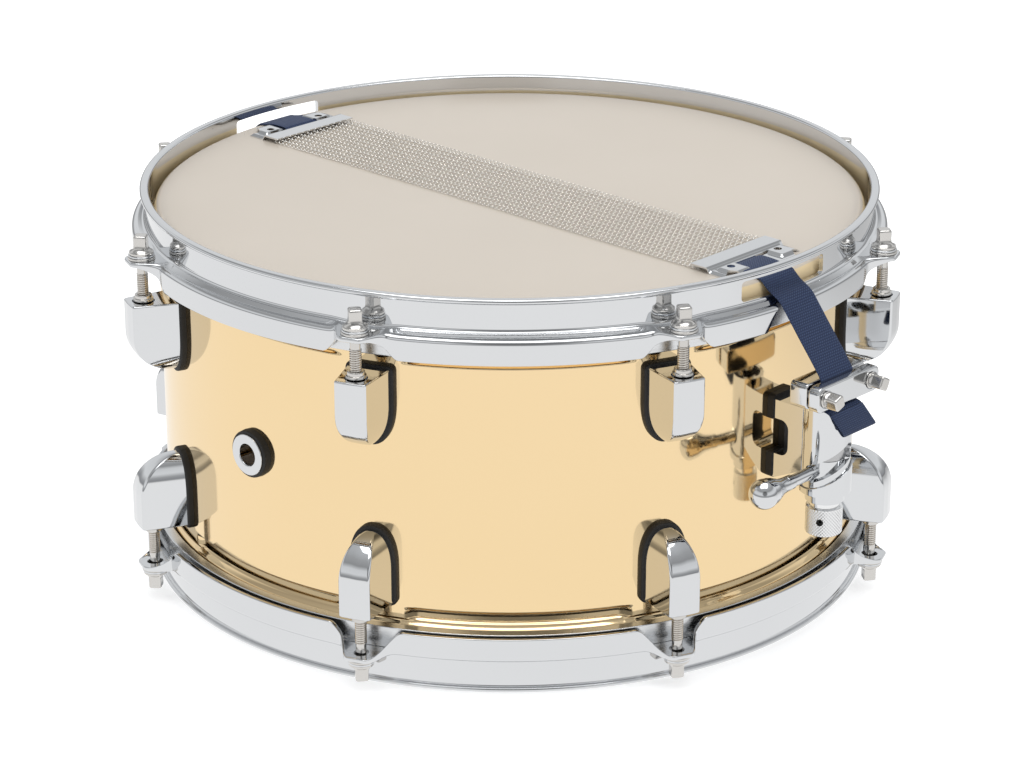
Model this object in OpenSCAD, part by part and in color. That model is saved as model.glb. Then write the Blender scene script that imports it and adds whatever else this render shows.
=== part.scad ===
// Snare drum standing on its batter hoop, snare side up.
// Millimetres, +Z up, origin at the centre of the plane it rests on.
// The snare throw-off is at +X, the butt end at -X and the air vent at -Y.

/* [Shell] */
// Outside diameter of the metal shell
shell_d = 354; // [353:0.5:355]
// Height of the shell between its two bearing edges
shell_h = 177.8; // [170:0.1:190]
// Thickness of the shell metal
shell_wall = 1.5; // [1.3:0.1:1.7]
// Depth of the pressed arcs between the lugs
arc_depth = 2; // [1:0.1:2.5]
// Radius of the hole through the air vent
vent_bore_r = 5.4; // [4:0.1:6]

/* [Hoops] */
// Distance from the outer rim of one hoop to the outer rim of the other
total_h = 196.6; // [196:0.1:198]
// Distance from the rim it rests on to the shell's lower edge
batter_stand = 10; // [9.6:0.1:10.4]
// Thickness of the hoop metal
hoop_sheet = 2.3; // [2:0.1:2.6]
// Inside radius of the hoop's upright wall
hoop_wall_r = 180.8; // [180.6:0.1:181]
// Outside radius of the hoop's skirt
skirt_r = 190; // [189.5:0.1:190.5]
// Height of each hoop from its rim to the edge of its skirt
hoop_h = 30; // [28:0.5:31]
// Width of the gates in the snare hoop that the ribbons pass through
gate_w = 58; // [50:1:60]

/* [Tension rods and lugs] */
// Radius of the circle that the tension rods stand on
rod_circle_r = 194; // [193.5:0.1:194.5]
// Radius of a tension rod
rod_r = 2.8; // [2.7:0.05:2.8]
// Length of a tension rod below its square head
rod_len = 44; // [40:1:46]
// Side of the square key heads
key_w = 6.3; // [6:0.1:6.6]
// Width of a lug where it meets its gasket
lug_base_w = 21; // [20:0.5:22]
// Width of a lug across its front face
lug_front_w = 16; // [15:0.5:17]
// Thickness of the rubber gaskets
gasket_t = 3; // [2.5:0.1:3.3]

/* [Snare throw-off] */
// Distance from the drum's axis to the throw-off's upright axis
drive_x = 206; // [205.9:0.05:206.1]
// Outside radius of the throw-off's cylinder
drive_r = 11.5; // [11.4:0.1:11.7]
// Distance from the throw-off's axis to the centre of the lever's knob
lever_len = 46; // [40:1:50]
// Swing of the lever from snares on to snares off, in degrees
lever_swing = 110; // [90:5:110]
// Lift of the clamp over the lever's whole swing
drive_lift = 10; // [9:0.5:10]

/* [Snare wires] */
// Number of coiled strands
strands = 24; // [20:1:24]
// Distance between neighbouring strands
strand_pitch = 2.3; // [2.2:0.05:2.35]
// Width of the ribbons
ribbon_w = 24; // [22:0.5:25]

/* [Hidden] */
$fn = 96;
rods_per_side = 8;
rod_pitch_a = 360 / rods_per_side;
first_rod_a = -rod_pitch_a / 2;
shell_r = shell_d / 2;
shell_low = batter_stand;
shell_high = batter_stand + shell_h;
shell_mid = (shell_low + shell_high) / 2;
// Radius of the bearing edges, where the heads rest on the shell.
edge_r = shell_r - 1.2;
snare_stand = total_h - shell_high;
film_t = 0.3;
film_top = shell_high + film_t;
slack = 0.05;

// Flesh hoops: the channel that holds the film's foot, and the levels of its two ends.
flesh_in_r = shell_r + 3.3;
flesh_out_r = shell_r + 8.2;
foot_in_r = shell_r + 4.8;
foot_out_r = shell_r + 6.6;
foot_top = 20.7;
foot_end = 28.5;

// Hoop levels, measured from the hoop's rim into the drum.
flange_top = 17;
flange_low = flange_top + hoop_sheet;
wall_out_r = hoop_wall_r + hoop_sheet;
lip_r = wall_out_r + 2.3;
flange_end = skirt_r - 1.8;
// The ear plate is this much thinner than the flange on each face.
ear_step = 0.1;
ear_r = 201.4;
gate_near = 4.3;
gate_far = 14.3;
gate_turn = -1.7;
notch_half_top = 10.5;
notch_half_end = 20;

// Lug levels, measured from the middle of the shell towards the hoop.
lug_end = 59;
lug_tip = 22.3;
lug_straight = 42;
lug_front_r = rod_circle_r + 8.2;
lug_back_r = shell_r + gasket_t;
gasket_lo = lug_tip - 1.7;
gasket_hi = lug_end + 1.5;
gasket_w = lug_base_w + 3;
lug_screw_zs = [29, 50];
lug_screw_r = 2;
screw_gap = 0.3;
nut_neck_r = 4.9;
nut_bore_r = rod_r + slack;
nut_top = lug_end + 3.6;
nut_foot = 38.5;
lug_wall = 3.5;
lug_mouth_r = 6.2;
lug_chamber_r = 6.9;

// Tension rod levels, measured from the hoop's rim into the drum.
key_top = 5.2;
lower_washer_t = 1.3;
upper_washer_t = 1.1;
rod_flange_low = flange_top - lower_washer_t - upper_washer_t - slack;
rod_flange_t = 1.2;
rod_flange_r = 6;

// Throw-off levels, from the resting plane up.
drive_low = 88.9;
drive_high = 129.5;
base_half = 8;
base_back = shell_r + 3.6;
base_top = 127;
base_low = 87.4;
lever_z = 97.8;
lever_r = 3;
drive_bore = 9;
spigot_r = 4.5;
shaft_r = 2.95;
knob_low = 64.4;
knob_high = 78.5;
knob_r = 9.1;
knob_neck_r = 7.4;
set_screw_z = 72;
set_screw_a = -65;
collar_foot = 81.4;
collar_low = 86.2;
collar_edge = 95.2;
spigot_low = 90.3;
piston_low = 103.6;
piston_high = 126.5;
stem_low = 107;
stem_high = 127;
shaft_top = 118;
clamp_low = 133.5;
clamp_high = 146;
clamp_half = 22;
clamp_screw_y = 17;
clamp_screw_z = 139.7;
block_front = drive_x + 4;
plate_back = block_front + 1.6;
plate_front = plate_back + 6.2;
notch_mid = 108.6;
strainer_screw_zs = [96, 121];
wall_screw_r = 2;

// Butt end: levels, and distances of its faces from the drum's axis.
butt_low = 100;
butt_high = 127;
butt_front = 198;
butt_plate_back = butt_front + 1.6;
butt_plate_front = butt_plate_back + 5.4;
butt_bar_h = 14;
butt_clamp_z = butt_high - butt_bar_h / 2;
butt_half = 13;
butt_screw_zs = [105, 122];

// Depth and radius of the recesses that the clamp screws' heads sit in.
recess_depth = 1.2;
recess_r = 4.4;
clamp_screw_r = 2.15;
clamp_hole_r = 2.5;

// Snare wire levels.
strand_r = 0.95;
wire_z = film_top + slack + strand_r;
wire_half = 146;
plate_z = wire_z + strand_r + slack;
ribbon_t = 0.7;
ribbon_low = plate_z - ribbon_t - slack;
ribbon_start = 158;
// Where the ribbon leaves the film's level, and where it turns down past the hoop's skirt.
ribbon_gate_x = 186.4;
ribbon_turn_x = 191.6;
ribbon_turn_z = 178.5;

function arc(x, y, r, a0, a1, n) =
    [for (i = [0:n]) [x + r * cos(a0 + (a1 - a0) * i / n), y + r * sin(a0 + (a1 - a0) * i / n)]];
function ease(u) = u * u * (3 - 2 * u);

module at_rods() {
    for (i = [0:rods_per_side - 1])
        rotate([0, 0, first_rod_a + i * rod_pitch_a]) children();
}

// Places a child, drawn with z measured from the hoop's rim, on the snare side.
module snare_side() {
    translate([0, 0, total_h]) mirror([0, 0, 1]) children();
}

// Places a child, drawn with z measured from mid shell towards the hoop, on both sides.
module both_halves() {
    translate([0, 0, shell_mid]) children();
    translate([0, 0, shell_mid]) mirror([0, 0, 1]) children();
}

module across_x(x0, x1, r) {
    translate([x0, 0, 0]) rotate([0, 90, 0]) cylinder(r = r, h = x1 - x0);
}

module tube(r_out, r_in, z0, z1) {
    translate([0, 0, z0]) difference() {
        cylinder(r = r_out, h = z1 - z0);
        translate([0, 0, -1]) cylinder(r = r_in, h = z1 - z0 + 2);
    }
}

// A rounded rectangle in the y-z plane, from x0 to x1.
module slab_yz(x0, x1, w, z0, z1, r_low, r_high) {
    outline = concat(
        arc(w / 2 - r_low, z0 + r_low, r_low, -90, 0, 6),
        arc(w / 2 - r_high, z1 - r_high, r_high, 0, 90, 6),
        arc(-w / 2 + r_high, z1 - r_high, r_high, 90, 180, 6),
        arc(-w / 2 + r_low, z0 + r_low, r_low, 180, 270, 6));
    translate([x0, 0, 0]) rotate([90, 0, 90]) linear_extrude(x1 - x0) polygon(outline);
}

// A side view in the x-z plane, given a thickness along y about y = 0.
module side_profile(thick, points) {
    translate([0, thick / 2, 0]) rotate([90, 0, 0]) linear_extrude(thick) polygon(points);
}

// ---- Shell ----

module shell_profile() {
    edge_in = shell_r - 5;
    inner = shell_r - shell_wall;
    polygon([
        [shell_r, 2.5], [shell_r, shell_h - 2.5],
        [edge_r, shell_h], [edge_in, shell_h - 3.2],
        [edge_in + 1, shell_h - 4.4], [inner, shell_h - 3.2],
        [inner, 3.2], [edge_in + 1, 4.4], [edge_in, 3.2], [edge_r, 0]]);
}

module shell_bead(level) {
    rotate_extrude($fn = 180) intersection() {
        translate([shell_r - 1.2, level]) circle(r = 2.6, $fn = 32);
        translate([shell_r - shell_wall, level - 5]) square([6, 10]);
    }
}

// A hole through the wall, at +X.
module wall_hole(r) {
    across_x(shell_r - 15, shell_r + 15, r);
}

// One pressed arc, centred on +X, sunk into the outside of the wall.
module pressed_arc(level, depth_from, depth_to) {
    half_a = 17;
    rotate([0, 0, -half_a]) rotate_extrude(angle = 2 * half_a, $fn = 180) polygon([
        [depth_to, level - 4], [depth_from, level - 2],
        [depth_from, level + 2], [depth_to, level + 4]]);
}

module shell() {
    bead_level = 17.5;
    arc_level = 23.5;
    sunk_r = shell_r - arc_depth;
    color("goldenrod") translate([0, 0, shell_low]) difference() {
        union() {
            rotate_extrude($fn = 180) shell_profile();
            for (level = [bead_level, shell_h - bead_level]) shell_bead(level);
            for (i = [0:rods_per_side - 1]) rotate([0, 0, i * rod_pitch_a])
                for (level = [arc_level, shell_h - arc_level])
                    pressed_arc(level, sunk_r - shell_wall, shell_r - 0.4);
        }
        for (i = [0:rods_per_side - 1]) rotate([0, 0, i * rod_pitch_a])
            for (level = [arc_level, shell_h - arc_level])
                pressed_arc(level, sunk_r, shell_r + 0.8);
        translate([0, 0, shell_mid - shell_low]) {
            at_rods() for (z = lug_screw_zs) for (side = [-1, 1])
                translate([0, 0, side * z]) wall_hole(lug_screw_r + screw_gap);
            rotate([0, 0, -90]) wall_hole(vent_bore_r + 0.9);
        }
        translate([0, 0, -shell_low]) {
            for (z = strainer_screw_zs) translate([0, 0, z]) wall_hole(wall_screw_r + screw_gap);
            mirror([1, 0, 0]) for (z = butt_screw_zs) translate([0, 0, z])
                wall_hole(wall_screw_r + screw_gap);
        }
        snare_beds();
    }
}

// Two shallow dips in the snare edge, under the ribbons.
module snare_beds() {
    dip = 1.4;
    half_w = 42;
    big_r = (half_w * half_w + dip * dip) / (2 * dip);
    translate([-200, 0, shell_h - dip + big_r]) rotate([0, 90, 0]) cylinder(r = big_r, h = 400, $fn = 360);
}

module vent_grommet() {
    color("silver") translate([0, 0, shell_mid]) rotate([0, 0, -90]) rotate([0, 90, 0]) rotate_extrude()
        polygon([
            [vent_bore_r, shell_r - 3.2], [vent_bore_r, shell_r + 3.8], [vent_bore_r + 0.6, shell_r + 4.4],
            [10.0, shell_r + 4.4], [10.2, shell_r + 4.1], [10.2, shell_r + 3.6], [6.1, shell_r + 3.6],
            [6.1, shell_r - 2.2], [8.2, shell_r - 2.2], [8.2, shell_r - 3.2]]);
}

module vent_ring() {
    color("black") translate([0, 0, shell_mid]) rotate([0, 0, -90]) difference() {
        across_x(shell_r - 3, shell_r + 3.5, 12);
        across_x(shell_r - 5, shell_r + 5, 6.4);
        rotate([0, 0, 90]) translate([0, 0, -30]) cylinder(r = shell_r + slack, h = 60, $fn = 180);
    }
}

// ---- Heads ----

// Film with its collar, drawn from the rim; its foot sits in the flesh hoop's channel.
module film(stand) {
    crest = stand - film_t;
    rotate_extrude($fn = 180) polygon([
        [0, crest], [edge_r + 0.15, crest], [shell_r + 1.2, crest + 1.2], [shell_r + 2.2, crest + 4],
        [shell_r + 2.9, foot_top], [foot_out_r, foot_top], [foot_out_r, foot_end], [foot_in_r, foot_end],
        [foot_in_r, foot_top + 0.6], [shell_r + 2.5, foot_top + 0.6], [shell_r + 1.9, crest + 4.1],
        [shell_r + 0.9, crest + 1.4], [edge_r + 0.05, stand], [0, stand]]);
}

module flesh_hoop() {
    gap = 0.1;
    rotate_extrude($fn = 180) polygon([
        [flesh_in_r, foot_top + 0.7], [foot_in_r - gap, foot_top + 0.7], [foot_in_r - gap, foot_end + gap],
        [foot_out_r + gap, foot_end + gap], [foot_out_r + gap, flange_low + slack],
        [flesh_out_r, flange_low + slack], [flesh_out_r, hoop_h], [flesh_in_r, hoop_h]]);
}

module batter_head() {
    color("white") film(batter_stand);
}

module snare_head() {
    color("tan") snare_side() film(snare_stand);
}

module batter_flesh_hoop() {
    color("silver") flesh_hoop();
}

module snare_flesh_hoop() {
    color("silver") snare_side() flesh_hoop();
}

// ---- Hoops ----

// Section of the hoop's rolled lip, upright wall and flange.
module hoop_section() {
    lip_edge = 1.15;
    polygon(concat(
        [[hoop_wall_r, flange_low - 2], [hoop_wall_r, 0.8], [hoop_wall_r + 0.8, 0]],
        arc(lip_r - lip_edge, lip_edge, lip_edge, -90, 90, 8),
        [[wall_out_r + 0.5, 2.5], [wall_out_r, 3.2]],
        arc(wall_out_r + 1.5, flange_top - 1.5, 1.5, 180, 90, 6),
        [[flange_end, flange_top], [flange_end, flange_low], [hoop_wall_r + 2, flange_low]]));
}

// Section of the skirt and its bend, with a tongue that reaches into the flange.
module skirt_section() {
    bend = 2.5;
    inner_r = skirt_r - hoop_sheet;
    polygon(concat(
        arc(skirt_r - bend, flange_top + bend, bend, -80, 0, 5),
        [[skirt_r, hoop_h], [inner_r, hoop_h], [inner_r, flange_low + 0.6],
         [inner_r - 0.7, flange_low - 0.1], [flange_end - 1.7, flange_top + 1.2]]));
}

// What is cut from the skirt on both sides of one ear: an S-shaped edge.
module skirt_relief() {
    near = 8;
    far = 19.5;
    steps = 8;
    right = [for (i = [0:steps]) [near + (far - near) * ease(i / steps),
        flange_low + (hoop_h - flange_low) * i / steps]];
    left = [for (i = [0:steps]) [-right[steps - i][0], right[steps - i][1]]];
    top = hoop_h + 1;
    low = flange_top - 1;
    translate([skirt_r - 5, 0, 0]) rotate([90, 0, 90]) linear_extrude(7)
        polygon(concat([[near, low]], right, [[far, top], [-far, top]], left, [[-near, low]]));
}

module ear_plate() {
    tip_r = 3;
    translate([0, 0, flange_top + ear_step]) linear_extrude(hoop_sheet - 2 * ear_step) polygon(concat(
        [[184, -15.5], [189.5, -13.5]],
        arc(ear_r - tip_r, -6.5, tip_r, -60, 0, 4),
        arc(ear_r - tip_r, 6.5, tip_r, 0, 60, 4),
        [[189.5, 13.5], [184, 15.5]]));
}

module ear_hole() {
    translate([rod_circle_r, 0, flange_top - 1]) cylinder(r = rod_r + 0.6, h = hoop_sheet + 2);
}

module hoop() {
    difference() {
        union() {
            rotate_extrude($fn = 180) hoop_section();
            difference() {
                rotate_extrude($fn = 180) skirt_section();
                at_rods() skirt_relief();
            }
            at_rods() ear_plate();
        }
        at_rods() ear_hole();
    }
}

// A gate through the wall and a notch in the skirt below it.
module gate_cut() {
    r = 2;
    half = gate_w / 2;
    translate([175, 0, 0]) rotate([90, 0, 90]) linear_extrude(10) polygon(concat(
        arc(half - r, gate_near + r, r, -90, 0, 4), arc(half - r, gate_far - r, r, 0, 90, 4),
        arc(-half + r, gate_far - r, r, 90, 180, 4), arc(-half + r, gate_near + r, r, 180, 270, 4)));
    translate([skirt_r - 3.6, 0, 0]) rotate([90, 0, 90]) linear_extrude(6)
        polygon([[notch_half_top, flange_top - 1], [notch_half_end, hoop_h + 1],
            [-notch_half_end, hoop_h + 1], [-notch_half_top, flange_top - 1]]);
}

module batter_hoop() {
    color("silver") hoop();
}

module snare_hoop() {
    color("silver") snare_side() difference() {
        hoop();
        for (a = [0, 180]) rotate([0, 0, gate_turn + a]) gate_cut();
    }
}

// ---- Lugs ----

module lug_body() {
    mouth = [rod_circle_r, 0, 0];
    curve = [for (i = [0:10]) [lug_back_r - 1 + (lug_front_r - lug_back_r + 1) * cos(9 * i),
        lug_straight - (lug_straight - lug_tip) * sin(9 * i)]];
    difference() {
        intersection() {
            side_profile(lug_base_w + 2, concat(
                [[lug_back_r - 1, lug_end], [lug_front_r - 1, lug_end], [lug_front_r, lug_end - 1]], curve));
            translate([0, 0, lug_tip - 1]) linear_extrude(lug_end - lug_tip + 2) polygon([
                [shell_r, -lug_base_w / 2], [lug_back_r + 2, -lug_base_w / 2 + 0.3],
                [lug_front_r + 0.1, -lug_front_w / 2], [lug_front_r + 0.1, lug_front_w / 2],
                [lug_back_r + 2, lug_base_w / 2 - 0.3], [shell_r, lug_base_w / 2]]);
            slab_yz(shell_r, lug_front_r + 1, lug_base_w, lug_tip, lug_end, 8, 1.5);
        }
        translate([0, 0, lug_tip - 5]) cylinder(r = lug_back_r, h = 60, $fn = 180);
        translate(mouth) translate([0, 0, lug_end - lug_wall - 1])
            cylinder(r = lug_mouth_r, h = lug_wall + 3);
        translate(mouth) translate([0, 0, nut_foot - 1])
            cylinder(r = lug_chamber_r, h = lug_end - lug_wall - nut_foot + 1);
        for (z = lug_screw_zs) translate([0, 0, z]) across_x(shell_r - 1, shell_r + 9, lug_screw_r);
    }
}

module batter_side_lugs() {
    color("silver") translate([0, 0, shell_mid]) mirror([0, 0, 1]) at_rods() lug_body();
}

module snare_side_lugs() {
    color("silver") translate([0, 0, shell_mid]) at_rods() lug_body();
}

module lug_gasket() {
    difference() {
        slab_yz(shell_r - 5, lug_back_r + 2, gasket_w, gasket_lo, gasket_hi, 9, 3);
        for (z = lug_screw_zs) translate([0, 0, z])
            across_x(shell_r - 6, lug_back_r + 4, lug_screw_r + screw_gap);
    }
}

module gasket_layer(z0, z1) {
    tube(lug_back_r - slack, shell_r + slack, z0, z1);
}

module lug_gaskets() {
    color("black") both_halves() intersection() {
        at_rods() lug_gasket();
        gasket_layer(gasket_lo - 1, gasket_hi + 1);
    }
}

module lug_nut() {
    shoulder_top = lug_end - lug_wall;
    translate([rod_circle_r, 0, 0]) difference() {
        union() {
            translate([0, 0, nut_foot]) cylinder(r = nut_neck_r, h = nut_top - nut_foot);
            translate([0, 0, shoulder_top - 4 - slack]) cylinder(r = lug_chamber_r - 0.3, h = 4 - slack);
        }
        translate([0, 0, nut_foot - 1]) cylinder(r = nut_bore_r, h = nut_top - nut_foot + 2);
    }
}

module lug_nuts() {
    color("silver") both_halves() at_rods() lug_nut();
}

module lug_nut_springs() {
    spring_top = lug_end - lug_wall - 4 - 2 * slack;
    color("dimgray") both_halves() at_rods() translate([rod_circle_r, 0, 0])
        tube(lug_chamber_r - 0.2, nut_neck_r + 0.2, nut_foot - 0.9, spring_top);
}

module lug_screw() {
    head_x = shell_r - shell_wall - 1.4;
    difference() {
        union() {
            across_x(head_x - 0.1, shell_r + 8, lug_screw_r - slack);
            across_x(head_x - 2.6, head_x - 0.1, 3.8);
        }
        translate([head_x - 3.6, -4, -0.5]) cube([2, 8, 1]);
    }
}

module lug_screws() {
    color("silver") both_halves() at_rods() for (z = lug_screw_zs) translate([0, 0, z]) lug_screw();
}

module lug_screw_washers() {
    color("silver") both_halves() at_rods() for (z = lug_screw_zs) translate([0, 0, z])
        difference() {
            across_x(shell_r - shell_wall - 1.4, shell_r - shell_wall - 0.2, 5);
            across_x(shell_r - shell_wall - 3, shell_r, lug_screw_r + 0.2);
        }
}

// ---- Tension rods, drawn from the hoop's rim ----

module tension_rod(index) {
    flange_high = rod_flange_low - rod_flange_t;
    rotate([0, 0, first_rod_a + (index - 1) * rod_pitch_a]) translate([rod_circle_r, 0, 0]) {
        translate([0, 0, flange_high]) cylinder(r = rod_flange_r, h = rod_flange_t);
        translate([0, 0, flange_high - 2.2]) cylinder(r1 = 3.4, r2 = rod_flange_r - 0.6, h = 2.2);
        intersection() {
            translate([-key_w / 2, -key_w / 2, key_top]) cube([key_w, key_w, flange_high - key_top]);
            translate([0, 0, key_top]) cylinder(r = key_w * 0.62, h = flange_high - key_top);
        }
        translate([0, 0, rod_flange_low]) cylinder(r = rod_r, h = rod_len);
    }
}

module washer_set(z0, thick, r_out) {
    at_rods() translate([rod_circle_r, 0, 0]) tube(r_out, rod_r + 0.3, z0, z0 + thick);
}

module rod_lower_washers() {
    z0 = flange_top - lower_washer_t;
    color("silver") {
        washer_set(z0, lower_washer_t - 0.01, 6.7);
        snare_side() washer_set(z0, lower_washer_t - 0.01, 6.7);
    }
}

module rod_upper_washers() {
    z0 = flange_top - lower_washer_t - upper_washer_t;
    color("silver") {
        washer_set(z0, upper_washer_t - 0.02, 6.4);
        snare_side() washer_set(z0, upper_washer_t - 0.02, 6.4);
    }
}

module snare_rod(index) {
    color("lightgray") snare_side() tension_rod(index);
}

module batter_rod(index) {
    color("lightgray") tension_rod(index);
}

module snare_rod_1() snare_rod(1);
module snare_rod_2() snare_rod(2);
module snare_rod_3() snare_rod(3);
module snare_rod_4() snare_rod(4);
module snare_rod_5() snare_rod(5);
module snare_rod_6() snare_rod(6);
module snare_rod_7() snare_rod(7);
module snare_rod_8() snare_rod(8);
module batter_rod_1() batter_rod(1);
module batter_rod_2() batter_rod(2);
module batter_rod_3() batter_rod(3);
module batter_rod_4() batter_rod(4);
module batter_rod_5() batter_rod(5);
module batter_rod_6() batter_rod(6);
module batter_rod_7() batter_rod(7);
module batter_rod_8() batter_rod(8);

// ---- Snare throw-off ----

module on_drive() {
    translate([drive_x, 0, 0]) children();
}

// The oblique slot that the lever's arm runs up as it swings from -Y past +X.
module lever_slot() {
    slot_half = lever_r + 0.9;
    slot_r = (drive_bore + drive_r) / 2;
    mid_a = -90 + lever_swing / 2;
    tilt = atan(drive_lift / 2 / sin(lever_swing / 2) / slot_r);
    intersection() {
        translate([0, 0, lever_z + drive_lift / 2]) rotate([0, 0, mid_a]) rotate([tilt, 0, 0])
            translate([0, -30, -slot_half]) cube([30, 60, 2 * slot_half]);
        translate([0, 0, lever_z - 20]) rotate([0, 0, -90])
            rotate_extrude(angle = lever_swing) square([30, 50]);
    }
    for (end = [0, 1]) translate([0, 0, lever_z + end * drive_lift])
        rotate([0, 0, -90 + end * lever_swing]) across_x(0, 30, slot_half - 0.2);
}

module strainer_base() {
    reach = drive_x - drive_r + 3;
    notch_r = 4.5;
    color("silver") difference() {
        union() {
            side_profile(2 * base_half, [
                [shell_r, base_low], [base_back + 1, base_low], [reach, base_low + 7.6],
                [reach, base_top], [shell_r, base_top]]);
            on_drive() translate([0, 0, drive_low + 0.1])
                cylinder(r = drive_r, h = drive_high - drive_low - 0.1);
        }
        on_drive() translate([0, 0, drive_low - 1]) cylinder(r = drive_bore, h = 60);
        on_drive() lever_slot();
        translate([0, 0, base_low - 5]) cylinder(r = base_back, h = 60, $fn = 180);
        hull() for (z = [notch_mid - notch_r, notch_mid + notch_r])
            translate([base_back + 4, 20, z]) rotate([90, 0, 0]) cylinder(r = notch_r, h = 40, $fn = 32);
        translate([shell_r - 2, -20, notch_mid - 2 * notch_r])
            cube([base_back - shell_r + 6, 40, 4 * notch_r]);
        for (z = strainer_screw_zs) translate([0, 0, z]) across_x(shell_r, base_back + 9, wall_screw_r);
    }
}

module strainer_gasket() {
    color("black") difference() {
        intersection() {
            slab_yz(shell_r - 5, base_back + 2, 2 * base_half + 1.6, base_low - 0.8, base_top + 2, 2.5, 2.5);
            tube(base_back - slack, shell_r + slack, base_low - 2, base_top + 4);
        }
        translate([shell_r - 3, -20, notch_mid - 8.5]) cube([10, 20, 17]);
        for (z = strainer_screw_zs) translate([0, 0, z])
            across_x(shell_r - 5, base_back + 5, wall_screw_r + screw_gap);
    }
}

module wall_screws(zs, shank_end) {
    head_x = shell_r - shell_wall - 0.2;
    for (z = zs) translate([0, 0, z]) difference() {
        union() {
            across_x(head_x, shank_end, wall_screw_r - slack);
            across_x(head_x - 2.8, head_x, 4.2);
        }
        translate([head_x - 3.8, -5, -0.5]) cube([2, 10, 1]);
    }
}

module strainer_screws() {
    color("silver") wall_screws(strainer_screw_zs, base_back + 8);
}

// Lower cap of the cylinder; its upper edge climbs round the cylinder.
module strainer_collar() {
    color("silver") on_drive() difference() {
        union() {
            intersection() {
                translate([0, 0, collar_low]) cylinder(r = drive_r + 1, h = 20);
                translate([0, 0, collar_edge]) rotate([0, 0, -30]) rotate([27, 0, 0])
                    translate([-30, -30, -40]) cube([60, 60, 40]);
            }
            translate([0, 0, collar_foot]) cylinder(r = 9.5, h = collar_low - collar_foot + 0.1);
        }
        translate([0, 0, drive_low]) cylinder(r = drive_r + slack, h = 30);
        translate([-30, -base_half - slack, drive_low - 10])
            cube([30 - sqrt(drive_r * drive_r - base_half * base_half) + 1, 2 * (base_half + slack), 40]);
        translate([0, 0, 80]) cylinder(r = shaft_r + slack, h = 20);
        translate([0, 0, lever_z]) rotate([0, 0, -90]) across_x(0, 30, lever_r + 0.7);
    }
}

module strainer_piston() {
    color("silver") on_drive() {
        tube(drive_bore - slack, 6.05, piston_low, piston_high);
        tube(drive_bore - slack, shaft_r + slack, piston_low, piston_low + 1.4);
        tube(spigot_r, shaft_r + slack, spigot_low, piston_low + 0.4);
    }
}

module piston_nut() {
    color("silver") on_drive() tube(6.8, spigot_r + 0.02, spigot_low - 0.2, spigot_low + 1.9);
}

module lever_arm() {
    color("silver") on_drive() difference() {
        union() {
            translate([0, 0, spigot_low + 2.1]) cylinder(r = drive_bore - 0.1, h = 11);
            translate([0, 0, lever_z]) rotate([0, 0, -90]) {
                across_x(5, lever_len - 16, lever_r);
                across_x(lever_len - 20, lever_len - 16, lever_r + 0.6);
            }
        }
        translate([0, 0, spigot_low]) cylinder(r = spigot_r + slack, h = 16);
    }
}

// Turned knob: flares from the arm to a domed end.
module lever_knob() {
    dome_r = 7.2;
    color("silver") on_drive() translate([0, 0, lever_z]) rotate([0, 0, -90])
        rotate([0, 90, 0]) translate([0, 0, lever_len]) rotate_extrude() polygon(concat(
            [[0, -15.95], [3.9, -15.95], [4.1, -13], [4.6, -10], [5.6, -7], [6.7, -4]],
            arc(0, 0, dome_r, -25, 90, 10)));
}

module adjuster_shaft() {
    color("silver") on_drive() translate([0, 0, knob_low + 3]) cylinder(r = shaft_r, h = shaft_top - knob_low - 3);
}

module adjuster_knob() {
    color("silver") on_drive() difference() {
        union() {
            translate([0, 0, knob_low]) cylinder(r1 = knob_r - 0.5, r2 = knob_r, h = 0.6);
            translate([0, 0, knob_low + 0.6]) cylinder(r = knob_r, h = knob_high - knob_low - 1.2);
            translate([0, 0, knob_high - 0.6]) cylinder(r1 = knob_r, r2 = knob_r - 0.5, h = 0.6);
            translate([0, 0, knob_high]) cylinder(r = knob_neck_r, h = collar_foot - knob_high - slack);
        }
        translate([0, 0, knob_low + 3]) cylinder(r = shaft_r, h = 30);
        translate([0, 0, set_screw_z]) rotate([0, 0, set_screw_a]) across_x(0, 20, 1.7);
    }
}

module adjuster_set_screw() {
    color("dimgray") on_drive() translate([0, 0, set_screw_z]) rotate([0, 0, set_screw_a]) difference() {
        across_x(shaft_r + 0.1, 7.6, 1.6);
        translate([6.2, 0, 0]) rotate([0, 90, 0]) cylinder(r = 0.9, h = 3, $fn = 6);
    }
}

module clamp_block() {
    stem_r = 6;
    neck_r = 4.2;
    color("silver") difference() {
        union() {
            slab_yz(drive_x - 6, block_front, 2 * clamp_half, clamp_low, clamp_high, 2, 2);
            on_drive() translate([0, 0, stem_low]) cylinder(r = stem_r, h = stem_high - stem_low);
            on_drive() translate([0, 0, stem_high - 1]) cylinder(r = neck_r, h = 9);
        }
        on_drive() translate([0, 0, stem_low - 3]) cylinder(r = shaft_r + slack, h = 16);
        for (y = [-clamp_screw_y, clamp_screw_y]) translate([0, y, clamp_screw_z])
            across_x(drive_x - 5, block_front + 1, clamp_screw_r + slack);
    }
}

module clamp_plate() {
    color("silver") difference() {
        slab_yz(plate_back, plate_front, 2 * clamp_half + 2, clamp_low, clamp_high, 3, 3);
        for (y = [-clamp_screw_y, clamp_screw_y]) translate([0, y, clamp_screw_z]) {
            across_x(plate_back - 1, plate_front + 1, clamp_hole_r);
            across_x(plate_front - recess_depth, plate_front + 1, recess_r);
        }
    }
}

// Key-headed screw along +X, its flange face at x = 0.
module key_screw(shank) {
    head = 9.4;
    side = key_w - 0.1;
    across_x(-shank, 0, clamp_screw_r);
    across_x(0, 1.8, 4);
    intersection() {
        translate([0, -side / 2, -side / 2]) cube([head, side, side]);
        across_x(0, head, 3.8);
    }
}

module clamp_screws() {
    color("silver") for (y = [-clamp_screw_y, clamp_screw_y])
        translate([plate_front - recess_depth, y, clamp_screw_z])
            key_screw(plate_front - recess_depth - drive_x + 4);
}

// ---- Butt end, at -X ----

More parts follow.
